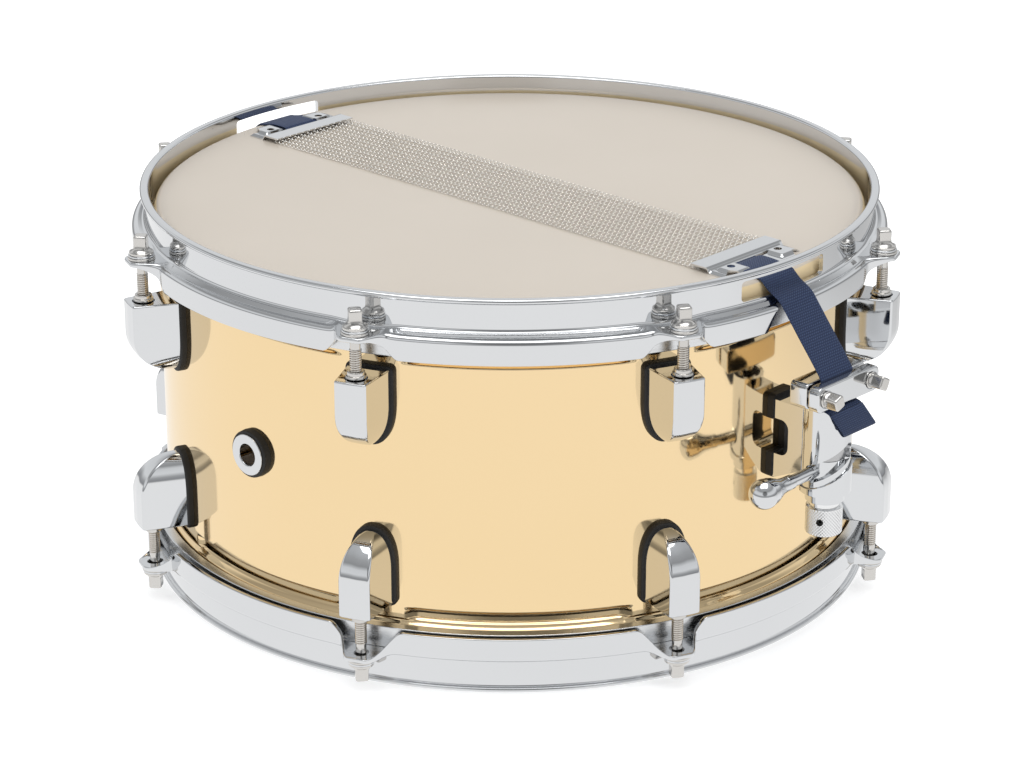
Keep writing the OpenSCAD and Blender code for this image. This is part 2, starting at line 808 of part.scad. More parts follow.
module butt_base() {
    color("silver") mirror([1, 0, 0]) difference() {
        union() {
            side_profile(2 * butt_half, [
                [shell_r, butt_low], [butt_front - 3, butt_low], [butt_front, butt_low + 3],
                [butt_front, butt_high], [shell_r, butt_high]]);
            slab_yz(butt_front - 6, butt_front, 2 * clamp_half, butt_high - butt_bar_h, butt_high, 3, 3);
        }
        translate([0, 0, butt_low - 5]) cylinder(r = base_back, h = 60, $fn = 180);
        for (z = butt_screw_zs) translate([0, 0, z]) across_x(shell_r, base_back + 9, wall_screw_r);
        for (y = [-clamp_screw_y, clamp_screw_y]) translate([0, y, butt_clamp_z])
            across_x(butt_front - 5, butt_front + 2, clamp_screw_r + slack);
    }
}

module butt_gasket() {
    color("black") mirror([1, 0, 0]) difference() {
        intersection() {
            slab_yz(shell_r - 5, base_back + 2, 2 * butt_half + 2, butt_low - 1, butt_high + 1, 2.5, 2.5);
            tube(base_back - slack, shell_r + slack, butt_low - 2, butt_high + 2);
        }
        for (z = butt_screw_zs) translate([0, 0, z])
            across_x(shell_r - 5, base_back + 5, wall_screw_r + screw_gap);
    }
}

module butt_screws() {
    color("silver") mirror([1, 0, 0]) wall_screws(butt_screw_zs, base_back + 8);
}

module butt_clamp_plate() {
    color("silver") mirror([1, 0, 0]) difference() {
        slab_yz(butt_plate_back, butt_plate_front, 2 * clamp_half + 2,
            butt_high - butt_bar_h, butt_high, 3, 3);
        for (y = [-clamp_screw_y, clamp_screw_y]) translate([0, y, butt_clamp_z]) {
            across_x(butt_plate_back - 1, butt_plate_front + 1, clamp_hole_r);
            across_x(butt_plate_front - recess_depth, butt_plate_front + 1, recess_r);
        }
    }
}

module butt_clamp_screws() {
    color("silver") mirror([1, 0, 0]) for (y = [-clamp_screw_y, clamp_screw_y])
        translate([butt_plate_front - recess_depth, y, butt_clamp_z]) key_screw(10);
}

// ---- Snare wires ----

module snare_wires() {
    color("lightgray") for (i = [0:strands - 1])
        translate([0, (i - (strands - 1) / 2) * strand_pitch, wire_z])
            across_x(-wire_half, wire_half, strand_r);
}

// Pressed plate that gathers the strands and holds the ribbon under its bar.
module end_plate() {
    inner = wire_half - 3;
    half = 27.5;
    sheet = 0.9;
    strip = 9.5;
    step_h = 0.8;
    difference() {
        union() {
            translate([inner, -half, plate_z]) cube([strip, 2 * half, sheet]);
            translate([inner + strip - 0.5, -half, plate_z]) cube([sheet, 2 * half, sheet + step_h - 0.1]);
            translate([inner + strip - 0.5, -half, plate_z + step_h]) cube([15, 2 * half, sheet]);
        }
        for (y = [-17, 17]) translate([inner + 17, y, plate_z - 1]) cylinder(r = 2, h = 5);
        translate([inner + 12.5, -ribbon_w / 2 - 1, plate_z - 1]) cube([5.5, ribbon_w + 2, 5]);
    }
}

module strainer_end_plate() {
    color("silver") end_plate();
}

module butt_end_plate() {
    color("silver") mirror([1, 0, 0]) end_plate();
}

// A ribbon over the snare edge, through the gate and down to a clamp, as points of its upper face.
// It starts under the end plate; slot is the middle of the gap it is clamped in.
function ribbon_over(slot, clamp_top) = [
    [ribbon_start, ribbon_low], [ribbon_gate_x, ribbon_low], [ribbon_turn_x, ribbon_turn_z],
    [slot + ribbon_t / 2, clamp_top]];

// The same stretch along the ribbon's lower face, back to the end plate.
function ribbon_under(slot, clamp_top) = [
    [slot - ribbon_t / 2, clamp_top], [ribbon_turn_x - 0.9, ribbon_turn_z],
    [ribbon_gate_x - 0.6, ribbon_low - ribbon_t], [ribbon_start, ribbon_low - ribbon_t]];

module ribbon(points, y_mid) {
    translate([0, y_mid, 0]) side_profile(ribbon_w, points);
}

module strainer_ribbon() {
    slot = (block_front + plate_back) / 2;
    bend_z = clamp_low - 1.5;
    tail_x = plate_front + 0.6;
    color("navy") ribbon(concat(
        ribbon_over(slot, clamp_high + 2),
        [[slot + ribbon_t / 2, bend_z], [tail_x + 2.6, bend_z], [tail_x + 2.6, 119], [tail_x, 119],
         [tail_x, bend_z - 0.8], [slot - ribbon_t / 2, bend_z - 0.8]],
        ribbon_under(slot, clamp_high + 1.5)), -2.8);
}

module butt_ribbon() {
    slot = (butt_front + butt_plate_back) / 2;
    end_z = butt_low + 6;
    color("navy") mirror([1, 0, 0]) ribbon(concat(
        ribbon_over(slot, butt_high + 2),
        [[slot + ribbon_t / 2, end_z], [slot - ribbon_t / 2, end_z]],
        ribbon_under(slot, butt_high + 1.5)), -2.5);
}

shell();
vent_grommet();
vent_ring();
batter_head();
batter_flesh_hoop();
batter_hoop();
snare_head();
snare_flesh_hoop();
snare_hoop();
batter_side_lugs();
snare_side_lugs();
lug_gaskets();
lug_nuts();
lug_nut_springs();
lug_screws();
lug_screw_washers();
rod_lower_washers();
rod_upper_washers();
snare_rod_1();
snare_rod_2();
snare_rod_3();
snare_rod_4();
snare_rod_5();
snare_rod_6();
snare_rod_7();
snare_rod_8();
batter_rod_1();
batter_rod_2();
batter_rod_3();
batter_rod_4();
batter_rod_5();
batter_rod_6();
batter_rod_7();
batter_rod_8();
strainer_base();
strainer_gasket();
strainer_collar();
strainer_screws();
strainer_piston();
piston_nut();
lever_arm();
lever_knob();
adjuster_shaft();
adjuster_knob();
adjuster_set_screw();
clamp_block();
clamp_plate();
clamp_screws();
butt_base();
butt_gasket();
butt_screws();
butt_clamp_plate();
butt_clamp_screws();
snare_wires();
strainer_end_plate();
butt_end_plate();
strainer_ribbon();
butt_ribbon();
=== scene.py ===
"""Snare drum: the looks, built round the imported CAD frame.

Lengths below are in millimetres and are turned into metres when a piece is made.
"""

import math

import bmesh
import bpy
import numpy as np
from mathutils import Matrix, Vector


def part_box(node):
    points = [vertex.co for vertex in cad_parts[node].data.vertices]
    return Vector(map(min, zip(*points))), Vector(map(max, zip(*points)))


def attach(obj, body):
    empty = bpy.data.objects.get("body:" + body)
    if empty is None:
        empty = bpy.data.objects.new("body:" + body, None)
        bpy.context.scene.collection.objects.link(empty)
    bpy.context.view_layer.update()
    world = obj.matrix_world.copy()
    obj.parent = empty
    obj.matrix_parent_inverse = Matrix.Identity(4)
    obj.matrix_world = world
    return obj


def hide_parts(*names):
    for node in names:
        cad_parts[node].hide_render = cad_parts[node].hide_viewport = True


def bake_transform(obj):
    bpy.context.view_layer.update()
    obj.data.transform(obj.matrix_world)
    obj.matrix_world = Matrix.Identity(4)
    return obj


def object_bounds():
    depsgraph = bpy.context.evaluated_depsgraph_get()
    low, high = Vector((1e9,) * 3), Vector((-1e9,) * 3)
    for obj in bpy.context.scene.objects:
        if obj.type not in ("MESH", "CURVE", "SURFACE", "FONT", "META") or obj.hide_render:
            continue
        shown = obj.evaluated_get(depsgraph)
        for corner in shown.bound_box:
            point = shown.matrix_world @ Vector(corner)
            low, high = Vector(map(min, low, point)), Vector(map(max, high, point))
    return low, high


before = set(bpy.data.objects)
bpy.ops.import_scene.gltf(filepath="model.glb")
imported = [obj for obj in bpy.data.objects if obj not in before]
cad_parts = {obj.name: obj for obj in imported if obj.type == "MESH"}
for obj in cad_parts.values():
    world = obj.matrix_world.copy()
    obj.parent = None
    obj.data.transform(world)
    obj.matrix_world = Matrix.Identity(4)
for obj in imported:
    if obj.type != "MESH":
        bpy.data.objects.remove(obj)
cad_low, cad_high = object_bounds()
MM = 0.001


def cad(node):
    """Lowest and highest corner of a CAD node, in millimetres."""
    low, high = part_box(node)
    return np.array(low) / MM, np.array(high) / MM


# ---------------------------------------------------------------- driving sizes
TOTAL = cad_high[2] / MM
shell_box = cad("shell")
SHELL_LOW = shell_box[0][2]
SHELL_HIGH = shell_box[1][2]
SHELL_MID = (SHELL_LOW + SHELL_HIGH) / 2
SHELL_R = 177.0
WALL = 1.5
SHEET = 2.3
WALL_R = 180.8
SKIRT_R = 190.0
HOOP_H = 30.0
FLANGE_TOP = 17.0
FLANGE_LOW = FLANGE_TOP + SHEET
EAR_R = 201.4
RODS = 8
FIRST_ROD = math.radians(-22.5)
ROD_PITCH = math.radians(45)
ROD_CIRCLE = 194.0
ROD_R = 2.8
DRIVE_X = 206.0
GATE_TURN = math.radians(-1.7)
GATE_NEAR = 4.3
GATE_FAR = 14.3
LYING = Matrix.Rotation(math.pi / 2, 4, "Y")
wire_box = cad("snare_wires")
FILM_TOP = wire_box[0][2] - 0.05


# ---------------------------------------------------------------- shapes
class Shape:
    """Points in millimetres and faces, before they become a piece."""

    def __init__(self, points, faces):
        self.points = np.asarray(points, float).reshape(-1, 3)
        self.faces = [tuple(f) for f in faces]

    def moved(self, matrix):
        m = np.array(matrix)
        points = self.points @ m[:3, :3].T + m[:3, 3]
        return Shape(points, self.faces)

    def __add__(self, other):
        n = len(self.points)
        faces = self.faces + [tuple(i + n for i in f) for f in other.faces]
        return Shape(np.vstack([self.points, other.points]), faces)


def joined(shapes):
    total = 0
    points = []
    faces = []
    for s in shapes:
        points.append(s.points)
        faces.extend(tuple(i + total for i in f) for f in s.faces)
        total += len(s.points)
    return Shape(np.vstack(points), faces)


def shift(x, y, z):
    return Matrix.Translation((x, y, z))


def turn_z(angle):
    return Matrix.Rotation(angle, 4, "Z")


def around(shape, count=RODS, first=FIRST_ROD):
    """Copies of a shape round the drum's axis."""
    return joined([shape.moved(turn_z(first + i * 2 * math.pi / count)) for i in range(count)])


def flipped(shape, level):
    """The shape mirrored in z, so that z becomes level - z."""
    points = shape.points * (1, 1, -1) + (0, 0, level)
    return Shape(points, [f[::-1] for f in shape.faces])


def both_sides(shape):
    """A shape drawn from mid shell upwards, on the snare side and the batter side."""
    up = shape.moved(shift(0, 0, SHELL_MID))
    return up + flipped(up, 2 * SHELL_MID)


def arc(x, y, r, a0, a1, n):
    """Points on an arc; angles in degrees."""
    angles = np.radians(np.linspace(a0, a1, n + 1))
    return [(x + r * math.cos(a), y + r * math.sin(a)) for a in angles]


def softened(corners, radius, n=5, closed=True):
    """A polygon with its corners rounded; a corner may carry its own radius as a third number."""
    out = []
    count = len(corners)
    for i, corner in enumerate(corners):
        p = np.array(corner[:2], float)
        r = corner[2] if len(corner) > 2 else radius
        if (not closed and i in (0, count - 1)) or r <= 0:
            out.append(tuple(p))
            continue
        a = np.array(corners[i - 1][:2], float) - p
        b = np.array(corners[(i + 1) % count][:2], float) - p
        la, lb = np.linalg.norm(a), np.linalg.norm(b)
        a, b = a / la, b / lb
        half = math.acos(max(-1, min(1, float(a @ b)))) / 2
        if half > math.radians(89):
            out.append(tuple(p))
            continue
        reach = min(r / math.tan(half), la * 0.48, lb * 0.48)
        centre_reach = reach / math.cos(half)
        c = p + (a + b) / np.linalg.norm(a + b) * centre_reach
        rr = reach * math.tan(half)
        start = p + a * reach - c
        stop = p + b * reach - c
        a0 = math.atan2(start[1], start[0])
        sweep = (math.atan2(stop[1], stop[0]) - a0 + math.pi) % (2 * math.pi) - math.pi
        for k in range(n + 1):
            t = a0 + sweep * k / n
            out.append((c[0] + rr * math.cos(t), c[1] + rr * math.sin(t)))
    return out


def skin(rings, wrap_rows=False):
    """Faces over rows of points; each row closes on itself, and rows may wrap too."""
    rings = np.asarray(rings, float)
    rows, cols = rings.shape[:2]
    faces = []
    for i in range(rows if wrap_rows else rows - 1):
        j = (i + 1) % rows
        for k in range(cols):
            m = (k + 1) % cols
            faces.append((i * cols + k, i * cols + m, j * cols + m, j * cols + k))
    if not wrap_rows:
        faces.append(tuple(range(cols))[::-1])
        faces.append(tuple((rows - 1) * cols + k for k in range(cols)))
    return Shape(rings.reshape(-1, 3), faces)


def ring(angles, r, z):
    """Points round Z at the given angles; r may be one number or change with the angle."""
    return np.column_stack([r * np.cos(angles), r * np.sin(angles), np.full(len(angles), z)])


def circle(sides):
    """Angles of an even ring of points."""
    return np.linspace(0, 2 * math.pi, sides, endpoint=False)


def round_rows(profile, sides=48):
    """Rings of a turned part about Z, from (r, z) points."""
    return [ring(circle(sides), r, z) for r, z in profile]


def square_row(half, power, z, sides=48):
    """A ring that is a square with rounded corners; a higher power makes them crisper."""
    a = circle(sides)
    return ring(a, half / (np.abs(np.cos(a)) ** power + np.abs(np.sin(a)) ** power) ** (1 / power), z)


def turned(profile, sides=64, closed=False):
    """A lathe shape about Z from (r, z) points."""
    return skin(round_rows(profile, sides), wrap_rows=closed)


def tube_along(path, radius, sides=8):
    """A round tube along a path of points, with closed ends."""
    path = np.asarray(path, float)
    steps = np.gradient(path, axis=0)
    steps /= np.linalg.norm(steps, axis=1)[:, None]
    up = np.array([0.0, 0.0, 1.0])
    side = np.cross(steps, up)
    bad = np.linalg.norm(side, axis=1) < 1e-3
    side[bad] = (0, 1, 0)
    side /= np.linalg.norm(side, axis=1)[:, None]
    over = np.cross(side, steps)
    a = circle(sides)[None, :, None]
    return skin(path[:, None] + radius * (side[:, None] * np.cos(a) + over[:, None] * np.sin(a)))


def prism(outline, depth, x0=0.0, rim=0.0, steps=3):
    """A y-z outline given a thickness along +X from x0, with its edges rounded by rim."""
    pts = np.array(outline, float)
    centre = pts.mean(0)
    size = (pts.max(0) - pts.min(0)) / 2
    rows = []
    for side, x_edge in ((-1, x0), (1, x0 + depth)):
        turns = np.linspace(0, math.pi / 2, steps + 1)
        if side > 0:
            turns = turns[::-1]
        for t in turns:
            inset = rim * (1 - math.sin(t))
            x = x_edge - side * rim * (1 - math.cos(t))
            rows.append(np.column_stack([np.full(len(pts), x), centre + (pts - centre) * (1 - inset / size)]))
    return skin(rows)


def rounded_box(x0, x1, y0, y1, z0, z1, r, corner):
    """A box whose two ends in x are rounded by r, and its four long edges by corner."""
    outline = softened([(y0, z0), (y1, z0), (y1, z1), (y0, z1)], corner)
    return prism(outline, x1 - x0, x0, r)


# ---------------------------------------------------------------- making pieces
def taken(obj):
    """A pattern object's shape, in millimetres; the object itself is removed."""
    points = np.array([v.co for v in obj.data.vertices]) / MM
    shape = Shape(points, [tuple(p.vertices) for p in obj.data.polygons])
    bpy.data.objects.remove(obj)
    return shape


def build(name, shape, sharp=38):
    """A Blender mesh object from a shape, with clean normals; edges over sharp degrees stay sharp."""
    mesh = bpy.data.meshes.new(name)
    mesh.from_pydata((shape.points * MM).tolist(), [], shape.faces)
    bm = bmesh.new()
    bm.from_mesh(mesh)
    bmesh.ops.remove_doubles(bm, verts=bm.verts, dist=1e-7)
    bmesh.ops.dissolve_degenerate(bm, edges=bm.edges, dist=1e-8)
    bmesh.ops.recalc_face_normals(bm, faces=bm.faces)
    bm.to_mesh(mesh)
    bm.free()
    mesh.shade_smooth()
    mesh.set_sharp_from_angle(angle=math.radians(sharp))
    obj = bpy.data.objects.new(name, mesh)
    bpy.context.scene.collection.objects.link(obj)
    return obj


def cut(obj, tool_shape, sharp=38):
    """Takes a closed shape out of a piece."""
    tool = build(obj.name + "_tool", tool_shape)
    mod = obj.modifiers.new("cut", "BOOLEAN")
    mod.operation = "DIFFERENCE"
    mod.solver = "EXACT"
    mod.object = tool
    bpy.context.view_layer.update()
    evaluated = obj.evaluated_get(bpy.context.evaluated_depsgraph_get())
    mesh = bpy.data.meshes.new_from_object(evaluated)
    obj.modifiers.clear()
    old = obj.data
    obj.data = mesh
    bpy.data.meshes.remove(old)
    bpy.data.objects.remove(tool)
    mesh.shade_smooth()
    mesh.set_sharp_from_angle(angle=math.radians(sharp))


def finish_piece(obj, body, material, nodes=()):
    """Gives a piece its material and body, and hides the CAD nodes that it stands for."""
    obj.data.materials.clear()
    obj.data.materials.append(material)
    weighted = obj.modifiers.new("even_normals", "WEIGHTED_NORMAL")
    weighted.keep_sharp = True
    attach(obj, body)
    if nodes:
        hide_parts(*nodes)
    return obj


def piece(name, shape, body, material, nodes=(), sharp=38):
    return finish_piece(build(name, shape, sharp), body, material, nodes)


# ---------------------------------------------------------------- materials
class Nodes:
    """Short names for building the node tree of a material or the world."""

    def __init__(self, owner, output="ShaderNodeOutputMaterial"):
        owner.use_nodes = True
        self.tree = owner.node_tree
        self.tree.nodes.clear()
        self.out = self.tree.nodes.new(output)
        self.coords = self.tree.nodes.new("ShaderNodeTexCoord")

    def feed(self, value, socket):
        """Links a socket to another, or sets it to a number, a vector or a colour."""
        if isinstance(value, bpy.types.NodeSocket):
            self.tree.links.new(value, socket)
        elif socket.type == "RGBA":
            socket.default_value = (*value, 1)
        else:
            socket.default_value = value

    def node(self, kind, result, inputs, **settings):
        """Adds a node with its settings and inputs, and gives the output named result."""
        node = self.tree.nodes.new(kind)
        for key, value in settings.items():
            setattr(node, key, value)
        for key, value in inputs.items():
            self.feed(value, node.inputs[key])
        return node.outputs[result]

    def mapped(self, scale, source="Object"):
        inputs = {"Vector": self.coords.outputs[source], "Scale": scale}
        return self.node("ShaderNodeMapping", "Vector", inputs)

    def noise(self, scale, detail=3.0, stretch=(1, 1, 1)):
        inputs = {"Vector": self.mapped(stretch), "Scale": scale, "Detail": detail}
        return self.node("ShaderNodeTexNoise", "Fac", inputs)

    def spread(self, value, low, high):
        return self.node("ShaderNodeMapRange", "Result", {"Value": value, "To Min": low, "To Max": high})

    def faded(self, value, start, stop, first, second):
        """Goes smoothly from first to second while value goes from start to stop."""
        inputs = {"Value": value, "From Min": start, "From Max": stop, "To Min": first, "To Max": second}
        return self.node("ShaderNodeMapRange", "Result", inputs, interpolation_type="SMOOTHSTEP")

    def blended(self, value, first, second):
        return self.node("ShaderNodeMix", 2, {0: value, 6: first, 7: second}, data_type="RGBA")

    def bump(self, height, strength, distance=0.0002):
        inputs = {"Height": height, "Strength": strength, "Distance": distance}
        return self.node("ShaderNodeBump", "Normal", inputs)

    def times(self, first, second):
        return self.node("ShaderNodeMath", "Value", {0: first, 1: second}, operation="MULTIPLY")

    def length(self, vector):
        return self.node("ShaderNodeVectorMath", "Value", {0: vector}, operation="LENGTH")

    def glow(self, strength):
        return self.node("ShaderNodeEmission", "Emission", {"Strength": strength})

    def either(self, share, first, second):
        """Mixes two shaders; share is how much of the second shows."""
        return self.node("ShaderNodeMixShader", "Shader", {"Fac": share, 1: first, 2: second})

    def seen_by(self, kind):
        """1 for rays of one kind, such as Camera or Glossy, and 0 for others."""
        return self.node("ShaderNodeLightPath", f"Is {kind} Ray", {})

    def principled(self, **inputs):
        """A Principled shader; each input may be a number, a colour or a socket."""
        named = {key.replace("_", " "): value for key, value in inputs.items()}
        return self.node("ShaderNodeBsdfPrincipled", "BSDF", named)

    def show(self, shader):
        self.feed(shader, self.out.inputs["Surface"])


def metal(name, tint, deep, rough_low, rough_high, grain=60.0, stretch=(1, 1, 1), bump=0.0):
    """Plated or polished metal: slight colour drift, smudged gloss and a faint ripple."""
    material = bpy.data.materials.new(name)
    n = Nodes(material)
    drift = n.noise(9.0, 2.0)
    smudge = n.noise(grain, 4.0, stretch)
    ripple = {"Normal": n.bump(smudge, bump)} if bump else {}
    n.show(n.principled(Base_Color=n.blended(drift, tint, deep), Metallic=1.0,
                        Roughness=n.spread(smudge, rough_low, rough_high), **ripple))
    return material


def rubber(name, colour, rough=0.55):
    material = bpy.data.materials.new(name)
    n = Nodes(material)
    grain = n.noise(900.0, 4.0)
    mottle = n.noise(60.0, 3.0)
    lighter = tuple(c * 1.9 + 0.004 for c in colour)
    n.show(n.principled(Base_Color=n.blended(mottle, colour, lighter),
                        Roughness=n.spread(grain, rough - 0.08, rough + 0.12),
                        Normal=n.bump(grain, 0.35, 0.0001), Specular_IOR_Level=0.4))
    return material


def film(name, colour, deep, clear, rough, edge=None):
    """Drumhead film: hazy, part see-through, with a soft sheen; edge is a brass colour painted on its collar,
    a painted reflection of the shell's brass edge.
    """
    material = bpy.data.materials.new(name)
    n = Nodes(material)
    haze = n.noise(14.0, 3.0)
    grain = n.noise(1400.0, 2.0)
    tint = n.blended(haze, colour, deep)
    # Painted reflection: a band of brass colour at the collar's radius stands in for the shell's brass edge
    # seen in the film.
    if edge:
        inputs = {0: n.coords.outputs["Object"], 1: (1, 1, 0)}
        level = n.node("ShaderNodeVectorMath", "Vector", inputs, operation="MULTIPLY")
        brass_reflection_start, brass_reflection_full = 0.1768, 0.1776
        tint = n.blended(n.faded(n.length(level), brass_reflection_start, brass_reflection_full, 0, 1), tint, edge)
    shader = n.principled(Base_Color=tint, Roughness=n.spread(haze, rough - 0.04, rough + 0.05),
                          Normal=n.bump(grain, 0.12, 0.00005), Specular_IOR_Level=0.45)
    if clear > 0:
        through = n.node("ShaderNodeBsdfTransparent", "BSDF", {"Color": (1.0, 0.97, 0.93)})
        shader = n.either(clear, shader, through)
    n.show(shader)
    return material


def woven(name, colour, light):
    """Ribbon: fine cross ribs with a slight diagonal, from the strip's own length and width."""
    material = bpy.data.materials.new(name)
    n = Nodes(material)
    uv = n.mapped((1, 1, 1), "UV")
    ribs = n.node("ShaderNodeTexWave", "Fac", {"Vector": uv, "Scale": 0.25, "Distortion": 0.6, "Detail": 1.0},
                  bands_direction="X")
    warp = n.node("ShaderNodeTexWave", "Fac", {"Vector": uv, "Scale": 0.42}, bands_direction="DIAGONAL")
    weave = n.times(ribs, warp)
    n.show(n.principled(Base_Color=n.blended(weave, colour, light), Roughness=0.62,
                        Normal=n.bump(weave, 0.5, 0.00025), Sheen_Weight=0.12, Sheen_Roughness=0.4,
                        Specular_IOR_Level=0.3))
    return material


CHROME = metal("mirror_chrome", (0.735, 0.745, 0.755), (0.69, 0.70, 0.715), 0.03, 0.075)
NICKEL = metal("nickel_plate", (0.70, 0.685, 0.66), (0.62, 0.60, 0.575), 0.10, 0.22, 140.0)
STEEL = metal("zinc_steel", (0.56, 0.56, 0.56), (0.47, 0.47, 0.48), 0.20, 0.36, 120.0)
BLACK_STEEL = metal("blackened_steel", (0.05, 0.048, 0.045), (0.03, 0.03, 0.03), 0.30, 0.45, 120.0)
THREAD = metal("cut_thread_steel", (0.74, 0.71, 0.67), (0.62, 0.59, 0.55), 0.16, 0.28, 140.0)
WIRE = metal("snare_wire", (0.95, 0.93, 0.89), (0.88, 0.85, 0.80), 0.12, 0.22, 200.0)
KNURL = metal("knurled_chrome", (0.90, 0.90, 0.90), (0.82, 0.825, 0.83), 0.10, 0.20, 150.0)
SATIN = metal("satin_aluminium", (0.80, 0.81, 0.82), (0.70, 0.71, 0.72), 0.16, 0.34, 30.0, (1, 1, 40), 0.05)
BRASS = metal("lacquered_brass", (0.925, 0.715, 0.435), (0.90, 0.685, 0.39), 0.05, 0.10,
              16.0, (14, 14, 0.6), 0.012)
RUBBER = rubber("moulded_rubber", (0.012, 0.011, 0.010))
# The snare film's beige is partly painted: its own haze, tinted by painted light from the brass inside the
# drum. Its last colour is the collar's painted brass reflection.
SNARE_FILM = film("hazy_film", (0.74, 0.67, 0.585), (0.70, 0.63, 0.545), 0.22, 0.24, (0.93, 0.75, 0.46))
BATTER_FILM = film("coated_film", (0.80, 0.79, 0.76), (0.74, 0.73, 0.70), 0.0, 0.55)
RIBBON = woven("navy_ribbon", (0.014, 0.025, 0.066), (0.046, 0.076, 0.165))


# ---------------------------------------------------------------- shell
def eased(u):
    """A smooth step: 0 up to u = 0, 1 from u = 1."""
    u = np.clip(u, 0, 1)
    return u * u * (3 - 2 * u)


def bead_radius(e):
    """Outer radius of the shell at a distance e from its nearer edge."""
    bead = 1.5 * np.exp(-((e - 17.6) / 1.9) ** 4)
    groove = 0.9 * np.exp(-((e - 13.4) / 0.9) ** 2)
    tuck = 0.5 * np.exp(-((e - 20.6) / 0.5) ** 2)
    edge = 1.2 * np.clip(1 - e / 1.6, 0, 1) ** 2
    return SHELL_R + bead - groove - tuck - edge


def shell_shape():
    """The brass shell; between its lugs an arc is pressed in, near each edge."""
    height = SHELL_HIGH - SHELL_LOW
    near_edge = np.concatenate([np.linspace(0, 2, 5), np.linspace(3, 11.5, 4), np.linspace(12, 30, 61)])
    levels = np.concatenate([near_edge, np.linspace(34, height - 34, 30), height - near_edge[::-1]])
    angles = circle(960)
    off = np.abs((angles + ROD_PITCH / 2) % ROD_PITCH - ROD_PITCH / 2)
    window = 1 - eased((np.degrees(off) - 15.5) / 2.6)

    def pressed(e):
        return 2.0 * eased((e - 20.4) / 1.6) * (1 - eased((e - 26.2) / 1.6)) * window

    outside = []
    inside = []
    for z in levels:
        e = min(z, height - z)
        lip = 3.2 * np.clip(1 - e / 3.5, 0, 1) ** 1.5
        outside.append(ring(angles, bead_radius(e) - pressed(e), z + SHELL_LOW))
        inside.append(ring(angles, bead_radius(max(e, 1.6)) - WALL - pressed(e) - lip, z + SHELL_LOW))
    return skin(outside + inside[::-1], wrap_rows=True)


def along_minus_y(shape):
    """Turns a shape's +Z to point out of the drum at -Y, level with the vent."""
    return shape.moved(shift(0, 0, SHELL_MID) @ Matrix.Rotation(math.pi / 2, 4, "X"))


def make_shell():
    obj = build("brass_shell", shell_shape())
    cut(obj, along_minus_y(turned([(6.3, 165), (6.3, 190)], 64)))
    finish_piece(obj, "root", BRASS, ["shell"])


def make_vent():
    eyelet = softened([
        (5.4, SHELL_R - 3.2), (5.4, SHELL_R + 4.4, 0.7), (10.2, SHELL_R + 4.4, 0.35), (10.2, SHELL_R + 3.55),
        (6.1, SHELL_R + 3.5), (6.1, SHELL_R - 2.2), (8.2, SHELL_R - 2.2), (8.2, SHELL_R - 3.2)], 0.1)
    metal_part = along_minus_y(turned(eyelet, 96, closed=True))
    piece("vent_eyelet", metal_part, "root", CHROME, ["vent_grommet"])
    section = softened([
        (6.4, SHELL_R - 2.9), (6.4, SHELL_R + 3.5), (11.6, SHELL_R + 3.5, 0.9), (12.2, SHELL_R - 2.9)], 0.2)
    rubber_part = build("vent_rubber_ring", along_minus_y(turned(section, 96, closed=True)))
    shell_face = SHELL_R + 0.03
    cut(rubber_part, turned([(shell_face, 60), (shell_face, 140)], 512))
    finish_piece(rubber_part, "root", RUBBER, ["vent_ring"])


# ---------------------------------------------------------------- heads
def film_shape(stand):
    """A film with its collar, drawn from the hoop's rim; stand is the level of its inner face."""
    crest = stand - 0.3
    foot = 28.5
    top = [(0.0, crest), (150.0, crest), (173.5, crest), (175.2, crest + 0.02), (176.4, crest + 0.4),
           (177.6, crest + 1.3), (178.5, crest + 2.9), (179.1, crest + 5.0), (179.9, 20.7), (183.6, 20.8),
           (183.6, foot)]
    under = [(181.8, foot), (181.8, 21.4), (179.6, 21.2), (178.8, crest + 5.0), (178.2, crest + 3.1),
             (177.3, crest + 1.6), (176.2, crest + 0.7), (175.1, stand), (173.5, stand), (150.0, stand),
             (0.0, stand)]
    return turned(top + under, 256)


def flesh_hoop_shape():
    """The ring that holds a film's foot in its channel, drawn from the hoop's rim."""
    section = softened([
        (180.3, 21.4), (181.7, 21.4), (181.7, 28.6), (183.7, 28.6), (183.7, FLANGE_LOW + 0.05),
        (185.2, FLANGE_LOW + 0.05), (185.2, HOOP_H, 0.5), (180.3, HOOP_H)], 0.25, 3)
    return turned(section, 256, closed=True)


def make_heads():
    snare_film = flipped(film_shape(TOTAL - FILM_TOP + 0.3), TOTAL)
    piece("snare_side_film", snare_film, "root", SNARE_FILM, ["snare_head"])
    piece("batter_side_film", film_shape(SHELL_LOW), "root", BATTER_FILM, ["batter_head"])
    low_ring = flesh_hoop_shape()
    piece("batter_flesh_ring", low_ring, "root", SATIN, ["batter_flesh_hoop"])
    high_ring = flipped(low_ring, TOTAL)
    piece("snare_flesh_ring", high_ring, "root", SATIN, ["snare_flesh_hoop"])


